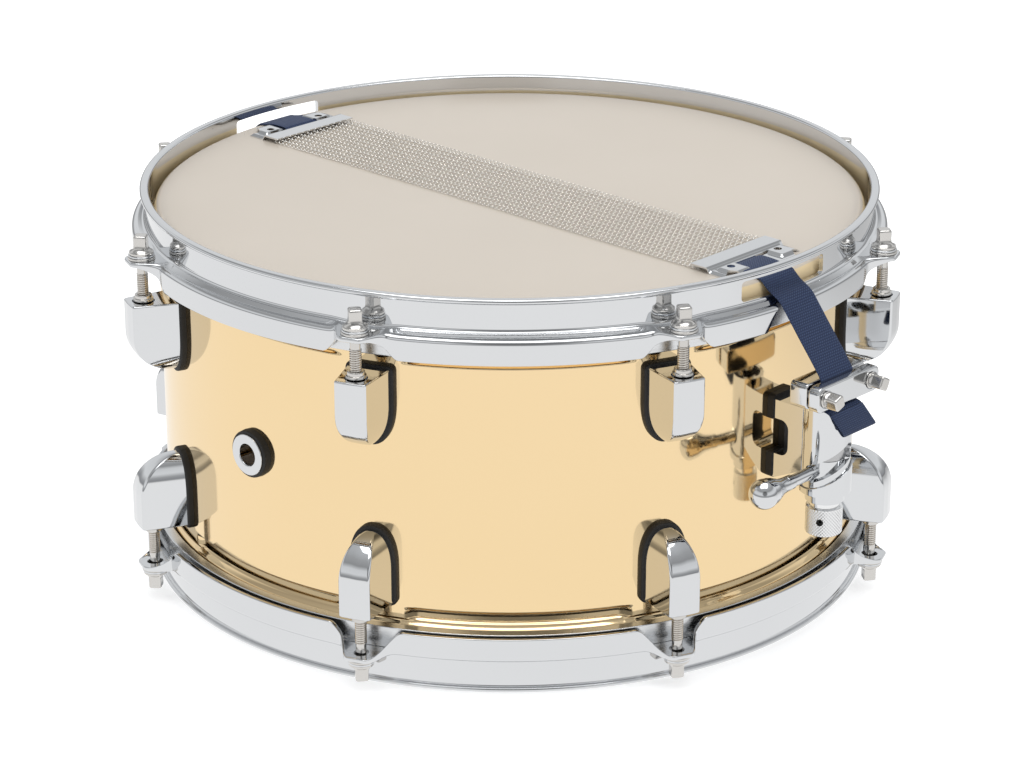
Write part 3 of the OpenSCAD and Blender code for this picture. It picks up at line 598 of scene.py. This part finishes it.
# ---------------------------------------------------------------- hoops
def hoop_profile(out_r, edge_h, bend, slope):
    """Closed section of the hoop: rolled lip, wall, flange, bend and skirt down to edge_h.

    Every call gives the same number of points, so that sections can be joined round the drum."""
    wall = WALL_R + SHEET
    near = FLANGE_TOP - 0.7 * slope
    far = FLANGE_TOP + 0.8 * slope
    far_low = far + SHEET
    lip = 1.2
    lip_r = wall + 2.2
    points = arc(WALL_R + 1.1, 1.1, 1.1, 180, 270, 5)
    points += arc(lip_r - lip, lip, lip, -90, 90, 9)
    points += arc(wall + 0.9, 2.4 + 0.9, 0.9, 270, 180, 4)
    points += arc(wall + 1.8, near - 1.8, 1.8, 180, 90, 8)
    points += [(out_r - bend - 1.0, far - 0.15 * slope)]
    points += arc(out_r - bend, far + bend, bend, -90, 0, 8)
    tip = 0.55
    points += arc(out_r - tip, edge_h - tip, tip, 0, 90, 3)
    inside = arc(out_r - SHEET + tip, edge_h - tip, tip, 90, 180, 3)
    inner = max(bend - SHEET, 0.5)
    bend_top = min(far_low + inner, edge_h - tip)
    inside += [(r, h * (bend_top - far_low) / inner + far_low)
               for r, h in arc(out_r - SHEET - inner, inner, inner, 0, -90, 4)]
    points += [(r, max(h, far_low)) for r, h in inside]
    points += arc(WALL_R + 2.2, near + SHEET - 2.2, 2.2, 90, 180, 6)
    return points


def hoop_shape():
    """The pressed hoop: the skirt turns into a flat ear at each tension rod."""
    samples = 1152
    rows = []
    for i in range(samples):
        a = 2 * math.pi * i / samples
        off = abs((a - FIRST_ROD + ROD_PITCH / 2) % ROD_PITCH - ROD_PITCH / 2)
        t = off * SKIRT_R
        reach = EAR_R - (EAR_R - SKIRT_R) * float(eased((t - 4.0) / 9.5))
        drop = float(eased((t - 6.0) / 13.0))
        edge = FLANGE_LOW + (HOOP_H - FLANGE_LOW) * drop
        bend = 1.1 + 1.4 * float(eased((t - 7.0) / 8.0))
        section = hoop_profile(reach, edge, bend, drop)
        rows.append([(r * math.cos(a), r * math.sin(a), h) for r, h in section])
    return skin(rows, wrap_rows=True)


def rod_holes():
    """Slightly long holes for the rods through the ears."""
    hole = turned([(3.5, FLANGE_TOP - 3), (3.5, FLANGE_LOW + 3)], 40).moved(Matrix.Diagonal((1.18, 1, 1, 1)))
    return around(hole.moved(shift(ROD_CIRCLE, 0, 0)))


def gate_tools():
    """What the snare hoop loses at each ribbon: a gate in its wall and a notch in its skirt."""
    half = 29
    gate = softened([(-half, GATE_NEAR), (half, GATE_NEAR), (half, GATE_FAR), (-half, GATE_FAR)], 2.0, 6)
    notch = softened([(-10.5, 15.5), (10.5, 15.5), (21, 32), (-21, 32)], 1.5, 5)
    both = prism(gate, 9, 176) + prism(notch, 8, 186.8)
    return both.moved(turn_z(GATE_TURN)) + both.moved(turn_z(math.pi + GATE_TURN))


def make_hoops():
    base = hoop_shape()
    batter = build("batter_pressed_hoop", base)
    cut(batter, rod_holes())
    finish_piece(batter, "root", CHROME, ["batter_hoop"])
    snare = build("snare_pressed_hoop", base)
    cut(snare, rod_holes() + gate_tools())
    for v in snare.data.vertices:
        v.co.z = TOTAL * MM - v.co.z
    snare.data.flip_normals()
    finish_piece(snare, "root", CHROME, ["snare_hoop"])


# ---------------------------------------------------------------- lugs
LUG_END = 59.0
LUG_TIP = 22.3
LUG_STRAIGHT = 42.0
LUG_BACK = SHELL_R + 3.0
LUG_FRONT = ROD_CIRCLE + 8.2


def arched(z, tip, length):
    """How much of its full width an arched outline has at height z, from 0 at its tip to 1."""
    u = np.clip((tip + length - z) / length, 0, 1)
    return (1 - u ** 2.3) ** (1 / 2.3)


def lug_shape():
    """One lug at +X, flat end up, with z from mid shell."""
    base_half = 10.4
    front_half = 7.8
    end_round = 0.8
    crown = 0.45
    foot = LUG_BACK - 1.5
    levels = [(z, LUG_FRONT - x)
              for x, z in arc(LUG_FRONT - end_round, LUG_END - end_round, end_round, 90, 0, 5)]
    levels += [(z, 0.0) for z in np.linspace(LUG_END - 2.5, LUG_STRAIGHT, 9)]
    drop = LUG_STRAIGHT - LUG_TIP - 0.15
    levels += [(LUG_STRAIGHT - drop * math.sin(math.pi / 2 * k / 28), 0.0) for k in range(1, 29)]
    rows = []
    for z, inset in levels:
        s = min(1.0, max(0.0, (LUG_STRAIGHT - z) / (LUG_STRAIGHT - LUG_TIP)))
        front = foot + (LUG_FRONT - foot) * math.sqrt(max(0.0, 1 - s * s)) - inset
        base = max(base_half * float(arched(z, LUG_TIP, 20)) - inset, 0.8)
        share = max(0.0, (front - LUG_BACK) / (LUG_FRONT - LUG_BACK))
        face = max(base + (front_half - base_half) * share, 0.6)
        depth = max(front - foot, 0.4)
        corner = min(1.5, depth * 0.45, face * 0.5)
        shoulder = front - crown
        outline = softened([(foot, -base, 0), (shoulder, -face, corner), (front, 0.0, 30),
                            (shoulder, face, corner), (foot, base, 0)], corner, 7)
        back = [(foot, base * k / 4) for k in (3, 2, 1, 0, -1, -2, -3)]
        rows.append([(x, y, z) for x, y in outline + back])
    return skin(rows)


def make_lugs():
    lug = build("lug_pattern", lug_shape(), 50)
    mouth = turned([(5.5, LUG_END - 3.6), (5.5, LUG_END + 2)], 48)
    cut(lug, mouth.moved(shift(ROD_CIRCLE, 0, 0)), 50)
    one = taken(lug)
    # The lug's back follows the round of the shell.
    outside = np.hypot(one.points[:, 0], one.points[:, 1])
    one.points[:, :2] *= np.where(outside < LUG_BACK, LUG_BACK / outside, 1.0)[:, None]
    lugs = around(one).moved(shift(0, 0, SHELL_MID))
    piece("snare_lugs", lugs, "root", CHROME, ["snare_side_lugs"], 50)
    piece("batter_lugs", flipped(lugs, 2 * SHELL_MID), "root", CHROME, ["batter_side_lugs"], 50)


def gasket_shape():
    """The pad under one lug, bent to the shell, with z from mid shell."""
    half = 12.0
    tip = LUG_TIP - 1.7
    length = 21.5
    side = [(half * float(arched(z, tip, length)), z)
            for z in tip + length * (1 - np.cos(np.linspace(0.12, math.pi / 2, 20)))]
    corner = 3.2
    end = arc(half - corner, LUG_END + 1.5 - corner, corner, 0, 90, 8)
    right = side + end
    outline = right + [(-y, z) for y, z in reversed(right)]
    levels = [(0.0, 0.0), (1.9, 0.0), (2.5, 0.15), (2.85, 0.5), (2.95, 1.1), (2.95, 3.2)]
    pts = np.array(outline)
    centre = pts.mean(0)
    size = (pts.max(0) - pts.min(0)) / 2
    rows = []
    for out, inset in levels:
        edge = centre + (pts - centre) * (1 - inset / size)
        r = SHELL_R + 0.03 + out
        rows.append(np.column_stack([np.sqrt(r * r - edge[:, 0] ** 2), edge]))
    return skin(rows)


def make_gaskets():
    gaskets = both_sides(around(gasket_shape()))
    piece("lug_rubber_gaskets", gaskets, "root", RUBBER, ["lug_gaskets"])


def make_nuts():
    top = LUG_END + 3.6
    section = softened([
        (ROD_R + 0.05, 39), (4.3, 39), (4.3, LUG_END + 0.4), (4.9, LUG_END + 0.5), (4.9, LUG_END + 1.7),
        (4.2, LUG_END + 1.9), (4.2, top, 0.5), (ROD_R + 0.05, top)], 0.15, 3)
    nut = turned(section, 40, closed=True).moved(shift(ROD_CIRCLE, 0, 0))
    piece("swivel_nuts", both_sides(around(nut)), "root", NICKEL, ["lug_nuts"])


# ---------------------------------------------------------------- tension rods
ROD_FLANGE = FLANGE_TOP - 2.45
THREAD_START = 24.6


def rod_shape():
    """Key head, flange and plain shank of a tension rod, with z measured from the hoop's rim."""
    flange_high = ROD_FLANGE - 1.2
    flare_high = flange_high - 3.0
    key_top = 5.2
    key_half = 3.15
    round_over = 0.9
    crisp = 7
    rows = []
    for t in np.linspace(0, math.pi / 2, 5):
        half = key_half - round_over * (1 - math.sin(t))
        rows.append(square_row(half, crisp, key_top + round_over * (1 - math.cos(t))))
    rows += [square_row(key_half, crisp, z) for z in np.linspace(key_top + 1.4, flare_high, 5)]
    for u in np.linspace(1 / 9, 1, 9):
        half = key_half + 0.12 + 2.0 * u ** 2.4
        rows.append(square_row(half, crisp - 5 * u ** 0.6, flare_high + 2.8 * u))
    flange = [(5.3, flange_high - 0.15), (6.0, flange_high), (6.0, ROD_FLANGE), (ROD_R, ROD_FLANGE)]
    rows += round_rows(softened(flange, 0.25, 3, False))
    rows += round_rows([(2.5, z) for z in np.linspace(ROD_FLANGE + 0.3, THREAD_START, 4)])
    return skin(rows)


def thread_shape(hand):
    """The rod's thread; hand is -1 for a rod that will be mirrored, so that it stays right-handed."""
    a = circle(48)
    tip = ROD_FLANGE + 44
    pitch = 1.12
    depth = 0.65
    rows = round_rows([(2.3, THREAD_START - 0.3)])
    for z in np.arange(THREAD_START, tip - 1.5, pitch / 8):
        phase = (z / pitch - hand * a / (2 * math.pi)) % 1.0
        groove = np.clip(1.25 - 4.4 * np.abs(phase - 0.5), 0, 1)
        rows.append(ring(a, ROD_R - depth * groove, z))
    rows += round_rows([(1.6, tip)])
    return skin(rows)


def washers(z, thick, outer):
    """A washer under every rod's head, drawn from the rim, on both sides of the drum."""
    inner = 3.05
    section = softened([(inner, z), (outer, z), (outer, z + thick), (inner, z + thick)], 0.35, 4)
    low = around(turned(section, 48, True).moved(shift(ROD_CIRCLE, 0, 0)))
    return low + flipped(low, TOTAL)


def make_rods():
    """Sixteen rods; each key head stands a few degrees off square to the camera, as in the photo."""
    off_square = (12, 8, -9, 14, 5, 11, -7, 9)
    for side, hand in (("snare", -1), ("batter", 1)):
        for k in range(RODS):
            angle = FIRST_ROD + k * ROD_PITCH
            face = math.radians(off_square[k] - 46.5) - angle
            here = turn_z(angle) @ shift(ROD_CIRCLE, 0, 0) @ turn_z(face)
            parts = [rod_shape().moved(here), thread_shape(hand).moved(here)]
            if side == "snare":
                parts = [flipped(part, TOTAL) for part in parts]
            node = f"{side}_rod_{k + 1}"
            piece(f"{side}_tension_rod_{k + 1}", parts[0], node, NICKEL, [node], 30)
            piece(f"{side}_rod_thread_{k + 1}", parts[1], node, THREAD, (), 25)
    lower = washers(FLANGE_TOP - 1.3, 1.28, 6.7)
    piece("lower_washers", lower, "root", NICKEL, ["rod_lower_washers"])
    upper = washers(FLANGE_TOP - 2.4, 1.05, 6.4)
    piece("upper_washers", upper, "root", CHROME, ["rod_upper_washers"])


# ---------------------------------------------------------------- throw-off
LEVER_Z = 97.8


def out_minus_y(shape):
    """Turns a shape's +Z to -Y at the throw-off's axis and the lever's height."""
    return shape.moved(shift(DRIVE_X, 0, LEVER_Z) @ Matrix.Rotation(math.pi / 2, 4, "X"))


def make_lever():
    reach = 46.0
    arm = [(0.0, 7.0), (3.0, 7.0), (3.0, reach - 20.3, 0.0), (3.5, reach - 20.0, 0.3),
           (3.6, reach - 16.0, 0.3), (0.0, reach - 15.8)]
    shaft = out_minus_y(turned(softened(arm, 0.2, 4, False), 48))
    hub_low, hub_high = LEVER_Z - 5.4, LEVER_Z + 5.6
    section = softened([(4.55, hub_low), (8.9, hub_low), (8.9, hub_high), (4.55, hub_high)], 0.3, 3)
    both = shaft + turned(section, 64, True).moved(shift(DRIVE_X, 0, 0))
    piece("lever_arm_and_hub", both, "lever", CHROME, ["lever_arm"])
    flare = [(0.0, reach - 15.9), (3.6, reach - 15.9), (3.75, reach - 14), (4.1, reach - 11.5),
             (4.9, reach - 9), (5.9, reach - 6.5), (6.6, reach - 4.2)]
    knob = out_minus_y(turned(flare + arc(0, reach, 7.25, -28, 90, 16)[1:]))
    piece("lever_turned_knob", knob, "lever", CHROME, ["lever_knob"], 60)


def make_adjuster():
    """The fine adjuster's knob: a diamond knurl, with the ridges of one hand the stronger."""
    low, high = 64.4, 78.5
    neck_top = 81.3
    radius = 8.95
    count, climb = 36, 1.7
    a = circle(360)
    rows = round_rows([(0.01, low), (7.6, low), (8.3, low + 0.12), (8.75, low + 0.5)], 360)
    for z in np.arange(low + 0.8, high - 0.7, 0.26):
        right, left = [(a / (2 * math.pi) * count + s * z / climb) % 1.0 for s in (1, -1)]
        height = 0.38 * (1 - np.abs(2 * right - 1)) + 0.16 * (1 - np.abs(2 * left - 1))
        rows.append(ring(a, radius - 0.5 + height, z))
    rows += round_rows([(8.75, high - 0.45), (8.3, high - 0.1), (7.4, high), (7.4, neck_top),
                        (0.01, neck_top)], 360)
    knob = build("adjuster_knurled_knob", skin(rows).moved(shift(DRIVE_X, 0, 0)), 45)
    aim = shift(DRIVE_X, 0, 72) @ turn_z(math.radians(-65)) @ LYING
    cut(knob, turned([(1.75, 5.5), (1.75, 14)], 32).moved(aim), 45)
    finish_piece(knob, "adjuster", KNURL, ["adjuster_knob"])


def key_screw_shape():
    """Square-headed screw along +X, its shoulder at x = 0."""
    length = 9.4
    key_half = 3.1
    crisp = 6.5
    round_over = 0.7
    rows = round_rows([(2.1, -9.0), (2.1, 0.0)])
    rows += round_rows(softened([(2.1, 0.0), (4.05, 0.0), (4.05, 1.5), (3.4, 1.8)], 0.3, 3, False))
    for u in np.linspace(0, 1, 8):
        rows.append(square_row(3.5 - 0.38 * eased(u), 2 + 4.5 * u, 1.9 + 1.8 * u))
    rows.append(square_row(key_half, crisp, length - 1.0))
    for t in np.linspace(math.pi / 8, math.pi / 2, 4):
        half = key_half - round_over * (1 - math.cos(t))
        rows.append(square_row(half, crisp, length - round_over + round_over * math.sin(t)))
    z_to_x = Matrix(((0, 0, 1, 0), (1, 0, 0, 0), (0, 1, 0, 0), (0, 0, 0, 1)))
    return skin(rows).moved(z_to_x)


def make_clamp():
    (back, _, low), (front, half, high) = cad("clamp_plate")
    mid = (low + high) / 2
    screw_y = 17
    outline = softened([(-half, low), (half, low), (half, high), (-half, high)], 3.4, 8)
    plate = build("clamp_front_plate", prism(outline, front - back, back, 0.9, 5))
    recess = turned([(4.5, front - 1.2), (4.5, front + 2)], 48)
    cut(plate, joined([recess.moved(shift(0, y, mid) @ LYING) for y in (-screw_y, screw_y)]))
    finish_piece(plate, "clamp", CHROME, ["clamp_plate"])
    block = rounded_box(DRIVE_X - 6, DRIVE_X + 4, -22, 22, low, high, 0.8, 2.2)
    profile = [(0.01, 107), (6.0, 107), (6.0, 127), (4.2, 127.2), (4.2, low + 1), (0.01, low + 1)]
    stem = turned(softened(profile, 0.2, 3, False), 48).moved(shift(DRIVE_X, 0, 0))
    piece("clamp_cross_block", block + stem, "clamp", CHROME, ["clamp_block"])
    screws = [key_screw_shape().moved(shift(front - 1.2, y, mid) @ Matrix.Rotation(turn, 4, "X"))
              for y, turn in ((-screw_y, 0.35), (screw_y, 1.1))]
    piece("clamp_key_screws", joined(screws), "clamp", NICKEL, ["clamp_screws"])


# ---------------------------------------------------------------- snare wires
def strand_path(y, z, x0, x1, coil_r, pitch, hand):
    """The middle line of one coiled strand along X; hand is 1 or -1."""
    per_turn = 10
    x = np.linspace(x0, x1, int((x1 - x0) / pitch * per_turn))
    a = 2 * math.pi * (x - x0) / pitch
    return np.column_stack([x, y + hand * coil_r * np.cos(a), z + coil_r * np.sin(a)])


def make_wires():
    """Coiled strands side by side, wound the two ways in turn."""
    low, high = wire_box
    strands = 24
    wire_r = 0.25
    coil_r = 0.92 - wire_r
    pitch = 2.84
    edge = 0.95
    mid_z = (low[2] + high[2]) / 2
    shapes = []
    for k, y in enumerate(np.linspace(low[1] + edge, high[1] - edge, strands)):
        hand = -1 if k % 2 else 1
        shapes.append(tube_along(strand_path(y, mid_z, low[0], high[0], coil_r, pitch, hand), wire_r, 5))
    piece("coiled_snare_wires", joined(shapes), "root", WIRE, ["snare_wires"], 80)


PAD_Y = 17.5


def end_plate_shape(inner, base_z):
    """Pressed plate: a strip over the wires, a step down, and two raised pads for its holes."""
    thick = 0.8
    rise = 1.5
    xs = np.arange(0, 26.01, 0.5)
    ys = np.arange(-27.5, 27.51, 0.5)
    x, y = np.meshgrid(xs, ys, indexing="ij")
    strip = 1 - eased((x - 9.5) / 1.8)
    across = 1 - eased((np.abs(np.abs(y) - PAD_Y) - 5.0) / 1.6)
    along = eased((x - 12.0) / 1.4) * (1 - eased((x - 22.5) / 2.2))
    pad = 0.85 * across * along
    curl = -0.9 * eased((np.abs(y) - 25.5) / 2.0) * eased((x - 10) / 2)
    top = base_z + rise * np.maximum(strip, pad) + curl * (1 - strip)
    points = np.vstack([np.column_stack([(inner + x).ravel(), y.ravel(), (top - drop).ravel()])
                        for drop in (0.0, thick)])
    nx, ny = top.shape
    layer = nx * ny
    faces = []
    for i in range(nx - 1):
        for j in range(ny - 1):
            a = i * ny + j
            quad = (a, a + 1, a + ny + 1, a + ny)
            faces.append(quad)
            faces.append(tuple(layer + q for q in quad[::-1]))
    rim = [i * ny for i in range(nx)] + [(nx - 1) * ny + j for j in range(1, ny)]
    rim += [i * ny + ny - 1 for i in range(nx - 2, -1, -1)] + [j for j in range(ny - 2, 0, -1)]
    for a, b in zip(rim, rim[1:] + rim[:1]):
        faces.append((a, layer + a, layer + b, b))
    return Shape(points, faces)


def make_end_plates():
    inner, _, level = cad("strainer_end_plate")[0]
    plate = build("end_plate_pattern", end_plate_shape(inner, level - 0.55), 50)
    deep, tall = level - 5, level + 5
    hole = turned([(2.0, -4), (2.0, 6)], 32)
    tools = [hole.moved(shift(inner + 16.2, y, level)) for y in (-17.3, 17.3)]
    tools.append(rounded_box(inner + 12.4, inner + 14.7, -12.9, 12.9, deep, tall, 0.0, 0.3))
    for s in (-1, 1):
        mid = s * PAD_Y
        tools.append(rounded_box(inner + 12.5, inner + 13.7, mid - 3.0, mid + 3.0, deep, tall, 0.0, 0.3))
        corner = rounded_box(0, 20, -3.8, 3.8, deep, tall, 0.0, 0.4)
        tools.append(corner.moved(shift(inner + 20.5, s * 26.0, 0) @ turn_z(-s * 0.5)))
    for tool in tools:
        cut(plate, tool, 50)
    shape = taken(plate)
    piece("strainer_side_end_plate", shape, "root", CHROME, ["strainer_end_plate"], 50)
    other = shape.moved(turn_z(math.pi))
    piece("butt_side_end_plate", other, "root", CHROME, ["butt_end_plate"], 50)


# ---------------------------------------------------------------- ribbons
def smooth_path(points, per=14):
    """A smooth curve through points (Catmull-Rom)."""
    p = np.array(points, float)
    p = np.vstack([2 * p[0] - p[1], p, 2 * p[-1] - p[-2]])
    out = []
    for i in range(1, len(p) - 2):
        for k in range(per):
            t = k / per
            out.append(0.5 * ((2 * p[i]) + (p[i + 1] - p[i - 1]) * t
                       + (2 * p[i - 1] - 5 * p[i] + 4 * p[i + 1] - p[i + 2]) * t * t
                       + (3 * p[i] - p[i - 1] - 3 * p[i + 1] + p[i + 2]) * t ** 3))
    out.append(p[-2])
    return np.array(out)


def strip(name, points, width, thick=0.7):
    """A woven strip along a path, its width along Y; its UV map holds millimetres along and across."""
    path = smooth_path(points)
    steps = np.gradient(path, axis=0) * (1, 0, 1)
    steps /= np.linalg.norm(steps, axis=1)[:, None]
    across = np.array([0.0, 1.0, 0.0])
    outward = np.cross(steps, across)
    along = np.concatenate([[0], np.cumsum(np.linalg.norm(np.diff(path, axis=0), axis=1))])
    half = width / 2
    side = np.linspace(-half, half, 25)
    section = [(v, thick / 2 * min(1.0, 0.45 + (half - abs(v)) / 0.5)) for v in side]
    section += [(v, -h) for v, h in reversed(section)]
    rows = [[p + across * v + o * h for v, h in section] for p, o in zip(path, outward)]
    shape = skin(rows)
    mesh = bpy.data.meshes.new(name)
    mesh.from_pydata((shape.points * MM).tolist(), [], shape.faces)
    layer = mesh.uv_layers.new(name="length_and_width")
    for loop in mesh.loops:
        row, column = divmod(loop.vertex_index, len(section))
        layer.data[loop.index].uv = (along[row], section[column][0])
    bm = bmesh.new()
    bm.from_mesh(mesh)
    bmesh.ops.recalc_face_normals(bm, faces=bm.faces)
    bm.to_mesh(mesh)
    bm.free()
    mesh.shade_smooth()
    mesh.set_sharp_from_angle(angle=math.radians(50))
    mesh.materials.append(RIBBON)
    obj = bpy.data.objects.new(name, mesh)
    bpy.context.scene.collection.objects.link(obj)
    return obj


RIBBON_W = 23.6


def over_the_edge(side, y_bar, y_gate, y_slot, slot_x, clamp_top, depth):
    """Points of a ribbon from the end plate's bar, over the film and out through the gate to a clamp."""
    inner = cad("strainer_end_plate")[0][0]
    film = FILM_TOP
    skirt_x, skirt_z = 191.6, film - 11.6
    y_skirt = y_gate * 0.85 + y_slot * 0.15
    y_below = y_gate * 0.6 + y_slot * 0.4
    on_plate = [(inner + x, y_bar, film + h) for x, h in (
        (12.3, 0.5), (13.3, 0.7), (14.6, 1.7), (16.5, 2.0), (20, 2.0), (24.2, 1.8))]
    through_gate = [(inner + 28.5, y_gate, film + 1.2)] + [(x, y_gate, film + h) for x, h in (
        (174.5, 0.55), (176.6, 0.25), (178.2, -0.8), (180.0, -2.4), (182.0, -4.0), (184.5, -5.4),
        (187.2, -6.9))]
    down = [
        (189.6, y_gate * 0.95 + y_slot * 0.05, film - 9.0), (skirt_x, y_skirt, film - 11.8),
        (slot_x * 0.35 + skirt_x * 0.65, y_below, skirt_z * 0.65 + (clamp_top + 2) * 0.35),
        (slot_x - 0.5, y_slot, clamp_top + 2.5), (slot_x, y_slot, clamp_top - 1.0),
        (slot_x, y_slot, clamp_top - depth)]
    return [(side * x, y, z) for x, y, z in on_plate + through_gate + down]


def make_throw_off_ribbon():
    low, top = cad("clamp_plate")[0][2], cad("clamp_plate")[1][2]
    slot_x = (cad("clamp_block")[1][0] + cad("clamp_plate")[0][0]) / 2
    slot_y = -2.9
    upper = strip("throw_off_ribbon", over_the_edge(1, -5.6, -5.4, slot_y, slot_x, top, 9), RIBBON_W)
    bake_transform(upper)
    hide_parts("strainer_ribbon")
    face = cad("clamp_plate")[1][0] + 1.0
    under = [(slot_x, slot_y, top - 4), (slot_x, slot_y, low + 1.5), (slot_x + 0.2, -3.0, low - 0.5),
             (slot_x + 1.4, -3.4, low - 1.0)]
    loop = [(face + x, y, low - drop) for x, y, drop in (
        (-2.2, -3.4, 1.35), (-0.4, -2.8, 2.6), (0.4, -1.4, 6), (0.9, 1.6, 10.2), (1.2, 4.2, 13.7),
        (2.0, 4.9, 14.6), (2.9, 4.2, 13.6), (2.8, 1.4, 10), (1.9, -2.6, 4.4), (1.2, -4.4, 1.6))]
    tail = strip("throw_off_ribbon_tail", under + loop, 24.0, 0.65)
    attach(tail, "clamp")


def make_butt_ribbon():
    slot_x = -(cad("butt_base")[0][0] + cad("butt_clamp_plate")[1][0]) / 2
    top = cad("butt_clamp_plate")[1][2]
    ribbon = strip("butt_end_ribbon", over_the_edge(-1, 3.4, 2.0, -2.4, slot_x, top, 18), RIBBON_W)
    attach(ribbon, "root")
    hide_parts("butt_ribbon")


# ---------------------------------------------------------------- CAD nodes that stay
def dress(node, material, bevel=0.25):
    """Gives a CAD node its material and softens its edges; its mesh stays as packed."""
    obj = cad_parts[node]
    obj.data.materials.clear()
    obj.data.materials.append(material)
    weld = obj.modifiers.new("weld", "WELD")
    weld.merge_threshold = 1e-6
    if bevel:
        soft = obj.modifiers.new("soft_edges", "BEVEL")
        soft.width = bevel * MM
        soft.segments = 2
        soft.limit_method = "ANGLE"
        soft.angle_limit = math.radians(35)
    smooth = obj.modifiers.new("even_normals", "WEIGHTED_NORMAL")
    smooth.keep_sharp = True


def dress_cad():
    for node in ("strainer_base", "strainer_collar", "butt_base", "butt_clamp_plate"):
        dress(node, CHROME)
    for node in ("strainer_piston", "piston_nut", "lug_nut_springs", "lug_screws", "lug_screw_washers",
                 "strainer_screws", "butt_screws"):
        dress(node, STEEL, 0)
    dress("adjuster_set_screw", BLACK_STEEL, 0)
    for node in ("adjuster_shaft", "butt_clamp_screws"):
        dress(node, NICKEL, 0)
    for node in ("strainer_gasket", "butt_gasket"):
        dress(node, RUBBER, 0.3)


# ---------------------------------------------------------------- studio
def floor_material():
    """White floor: plain to the camera. In reflections it is a painted glow, bright near the drum, dimmer far
    off and dimmer towards +Y.
    """
    material = bpy.data.materials.new("pale_floor")
    n = Nodes(material)
    place = n.coords.outputs["Object"]
    matt = n.principled(Base_Color=(0.90, 0.90, 0.90), Roughness=0.9)
    lit = n.node("ShaderNodeAddShader", "Shader", {0: matt, 1: n.glow(0.45)})
    nearness = n.faded(n.length(place), 0.75, 3.2, 1.0, 0.45)
    across = n.node("ShaderNodeSeparateXYZ", "Y", {0: place})
    # Painted glow, seen only in reflections: it fades with distance from the drum and towards +Y.
    mirrored = n.glow(n.times(nearness, n.faded(across, 0.10, 0.75, 1.0, 0.55)))
    plain = n.either(n.seen_by("Camera"), matt, lit)
    n.show(n.either(n.seen_by("Glossy"), plain, mirrored))
    return material


def make_floor():
    mesh = bpy.data.meshes.new("floor")
    half = 14.0
    corners = [(-half, -half, 0), (half, -half, 0), (half, half, 0), (-half, half, 0)]
    mesh.from_pydata(corners, [], [(0, 1, 2, 3)])
    obj = bpy.data.objects.new("floor", mesh)
    bpy.context.scene.collection.objects.link(obj)
    mesh.materials.append(floor_material())


def make_world():
    """White to the camera; metal reflects greys by height, with a dark opening behind the camera."""
    world = bpy.data.worlds.new("studio")
    bpy.context.scene.world = world
    n = Nodes(world, "ShaderNodeOutputWorld")
    towards = n.coords.outputs["Generated"]
    ramp = n.tree.nodes.new("ShaderNodeValToRGB")
    n.feed(n.node("ShaderNodeSeparateXYZ", "Z", {0: towards}), ramp.inputs["Fac"])
    stops = ramp.color_ramp.elements
    stops[0].color = (0.36, 0.37, 0.39, 1)
    stops[1].color = (0.78, 0.80, 0.82, 1)
    for where, grey in ((0.10, 0.50), (0.24, 0.98), (0.46, 0.92), (0.62, 0.42), (0.80, 0.52)):
        stops.new(where).color = (grey * 0.985, grey, grey * 1.015, 1)
    middle = Vector((0.66, -0.62, 0.42)).normalized()
    facing = n.node("ShaderNodeVectorMath", "Value", {0: towards, 1: middle}, operation="DOT_PRODUCT")
    strength = n.faded(facing, 0.925, 0.985, 0.85, 0.25)
    kind = "ShaderNodeBackground"
    greys = n.node(kind, "Background", {"Color": ramp.outputs["Color"], "Strength": strength})
    plain = n.node(kind, "Background", {"Color": (1, 1, 1), "Strength": 1.1})
    n.show(n.either(n.seen_by("Camera"), greys, plain))


def softbox(name, where, size, power, mirrored=False):
    """A soft area light aimed at the drum."""
    light = bpy.data.lights.new(name, "AREA")
    light.shape = "RECTANGLE"
    light.size, light.size_y = size
    light.energy = power
    obj = bpy.data.objects.new(name, light)
    bpy.context.scene.collection.objects.link(obj)
    obj.location = where
    obj.rotation_euler = (Vector((0, 0, 0.1)) - obj.location).to_track_quat("-Z", "Y").to_euler()
    obj.visible_glossy = mirrored


def make_lights():
    softbox("top_softbox", (0.1, -0.1, 1.9), (1.5, 1.5), 17, True)
    softbox("left_softbox", (-1.7, -1.3, 1.0), (1.1, 1.6), 9)
    softbox("right_softbox", (1.9, 0.5, 0.9), (0.9, 1.5), 7)
    softbox("back_softbox", (-0.8, 2.0, 1.1), (1.6, 1.1), 9)


def make_camera():
    """The photo's viewpoint: azimuth and elevation of the camera, its distance and lens."""
    azimuth = math.radians(43.545)
    elevation = math.radians(21.29)
    distance = 1.5998
    target = Vector((0, 0, 0.0922))
    level = math.cos(elevation)
    back = Vector((math.sin(azimuth) * level, -math.cos(azimuth) * level, math.sin(elevation)))
    right = Vector((math.cos(azimuth), math.sin(azimuth), 0))
    up = back.cross(right)
    turn = Matrix((right, up, back)).transposed().to_4x4()
    camera = bpy.data.cameras.new("camera")
    camera.sensor_width = 36.0
    camera.lens = 109.1
    camera.shift_x = 2.403 / 1024
    camera.shift_y = -16.207 / 1024
    camera.clip_end = 100
    obj = bpy.data.objects.new("camera", camera)
    bpy.context.scene.collection.objects.link(obj)
    obj.matrix_world = Matrix.Translation(target + back * distance) @ turn
    bpy.context.scene.camera = obj
    bpy.context.scene.view_settings.view_transform = "Standard"


# ---------------------------------------------------------------- build it all
make_shell()
make_vent()
make_heads()
make_hoops()
make_lugs()
make_gaskets()
make_nuts()
make_rods()
make_lever()
make_adjuster()
make_clamp()
make_wires()
make_end_plates()
make_throw_off_ribbon()
make_butt_ribbon()
dress_cad()
make_floor()
make_world()
make_lights()
make_camera()

bpy.context.view_layer.update()
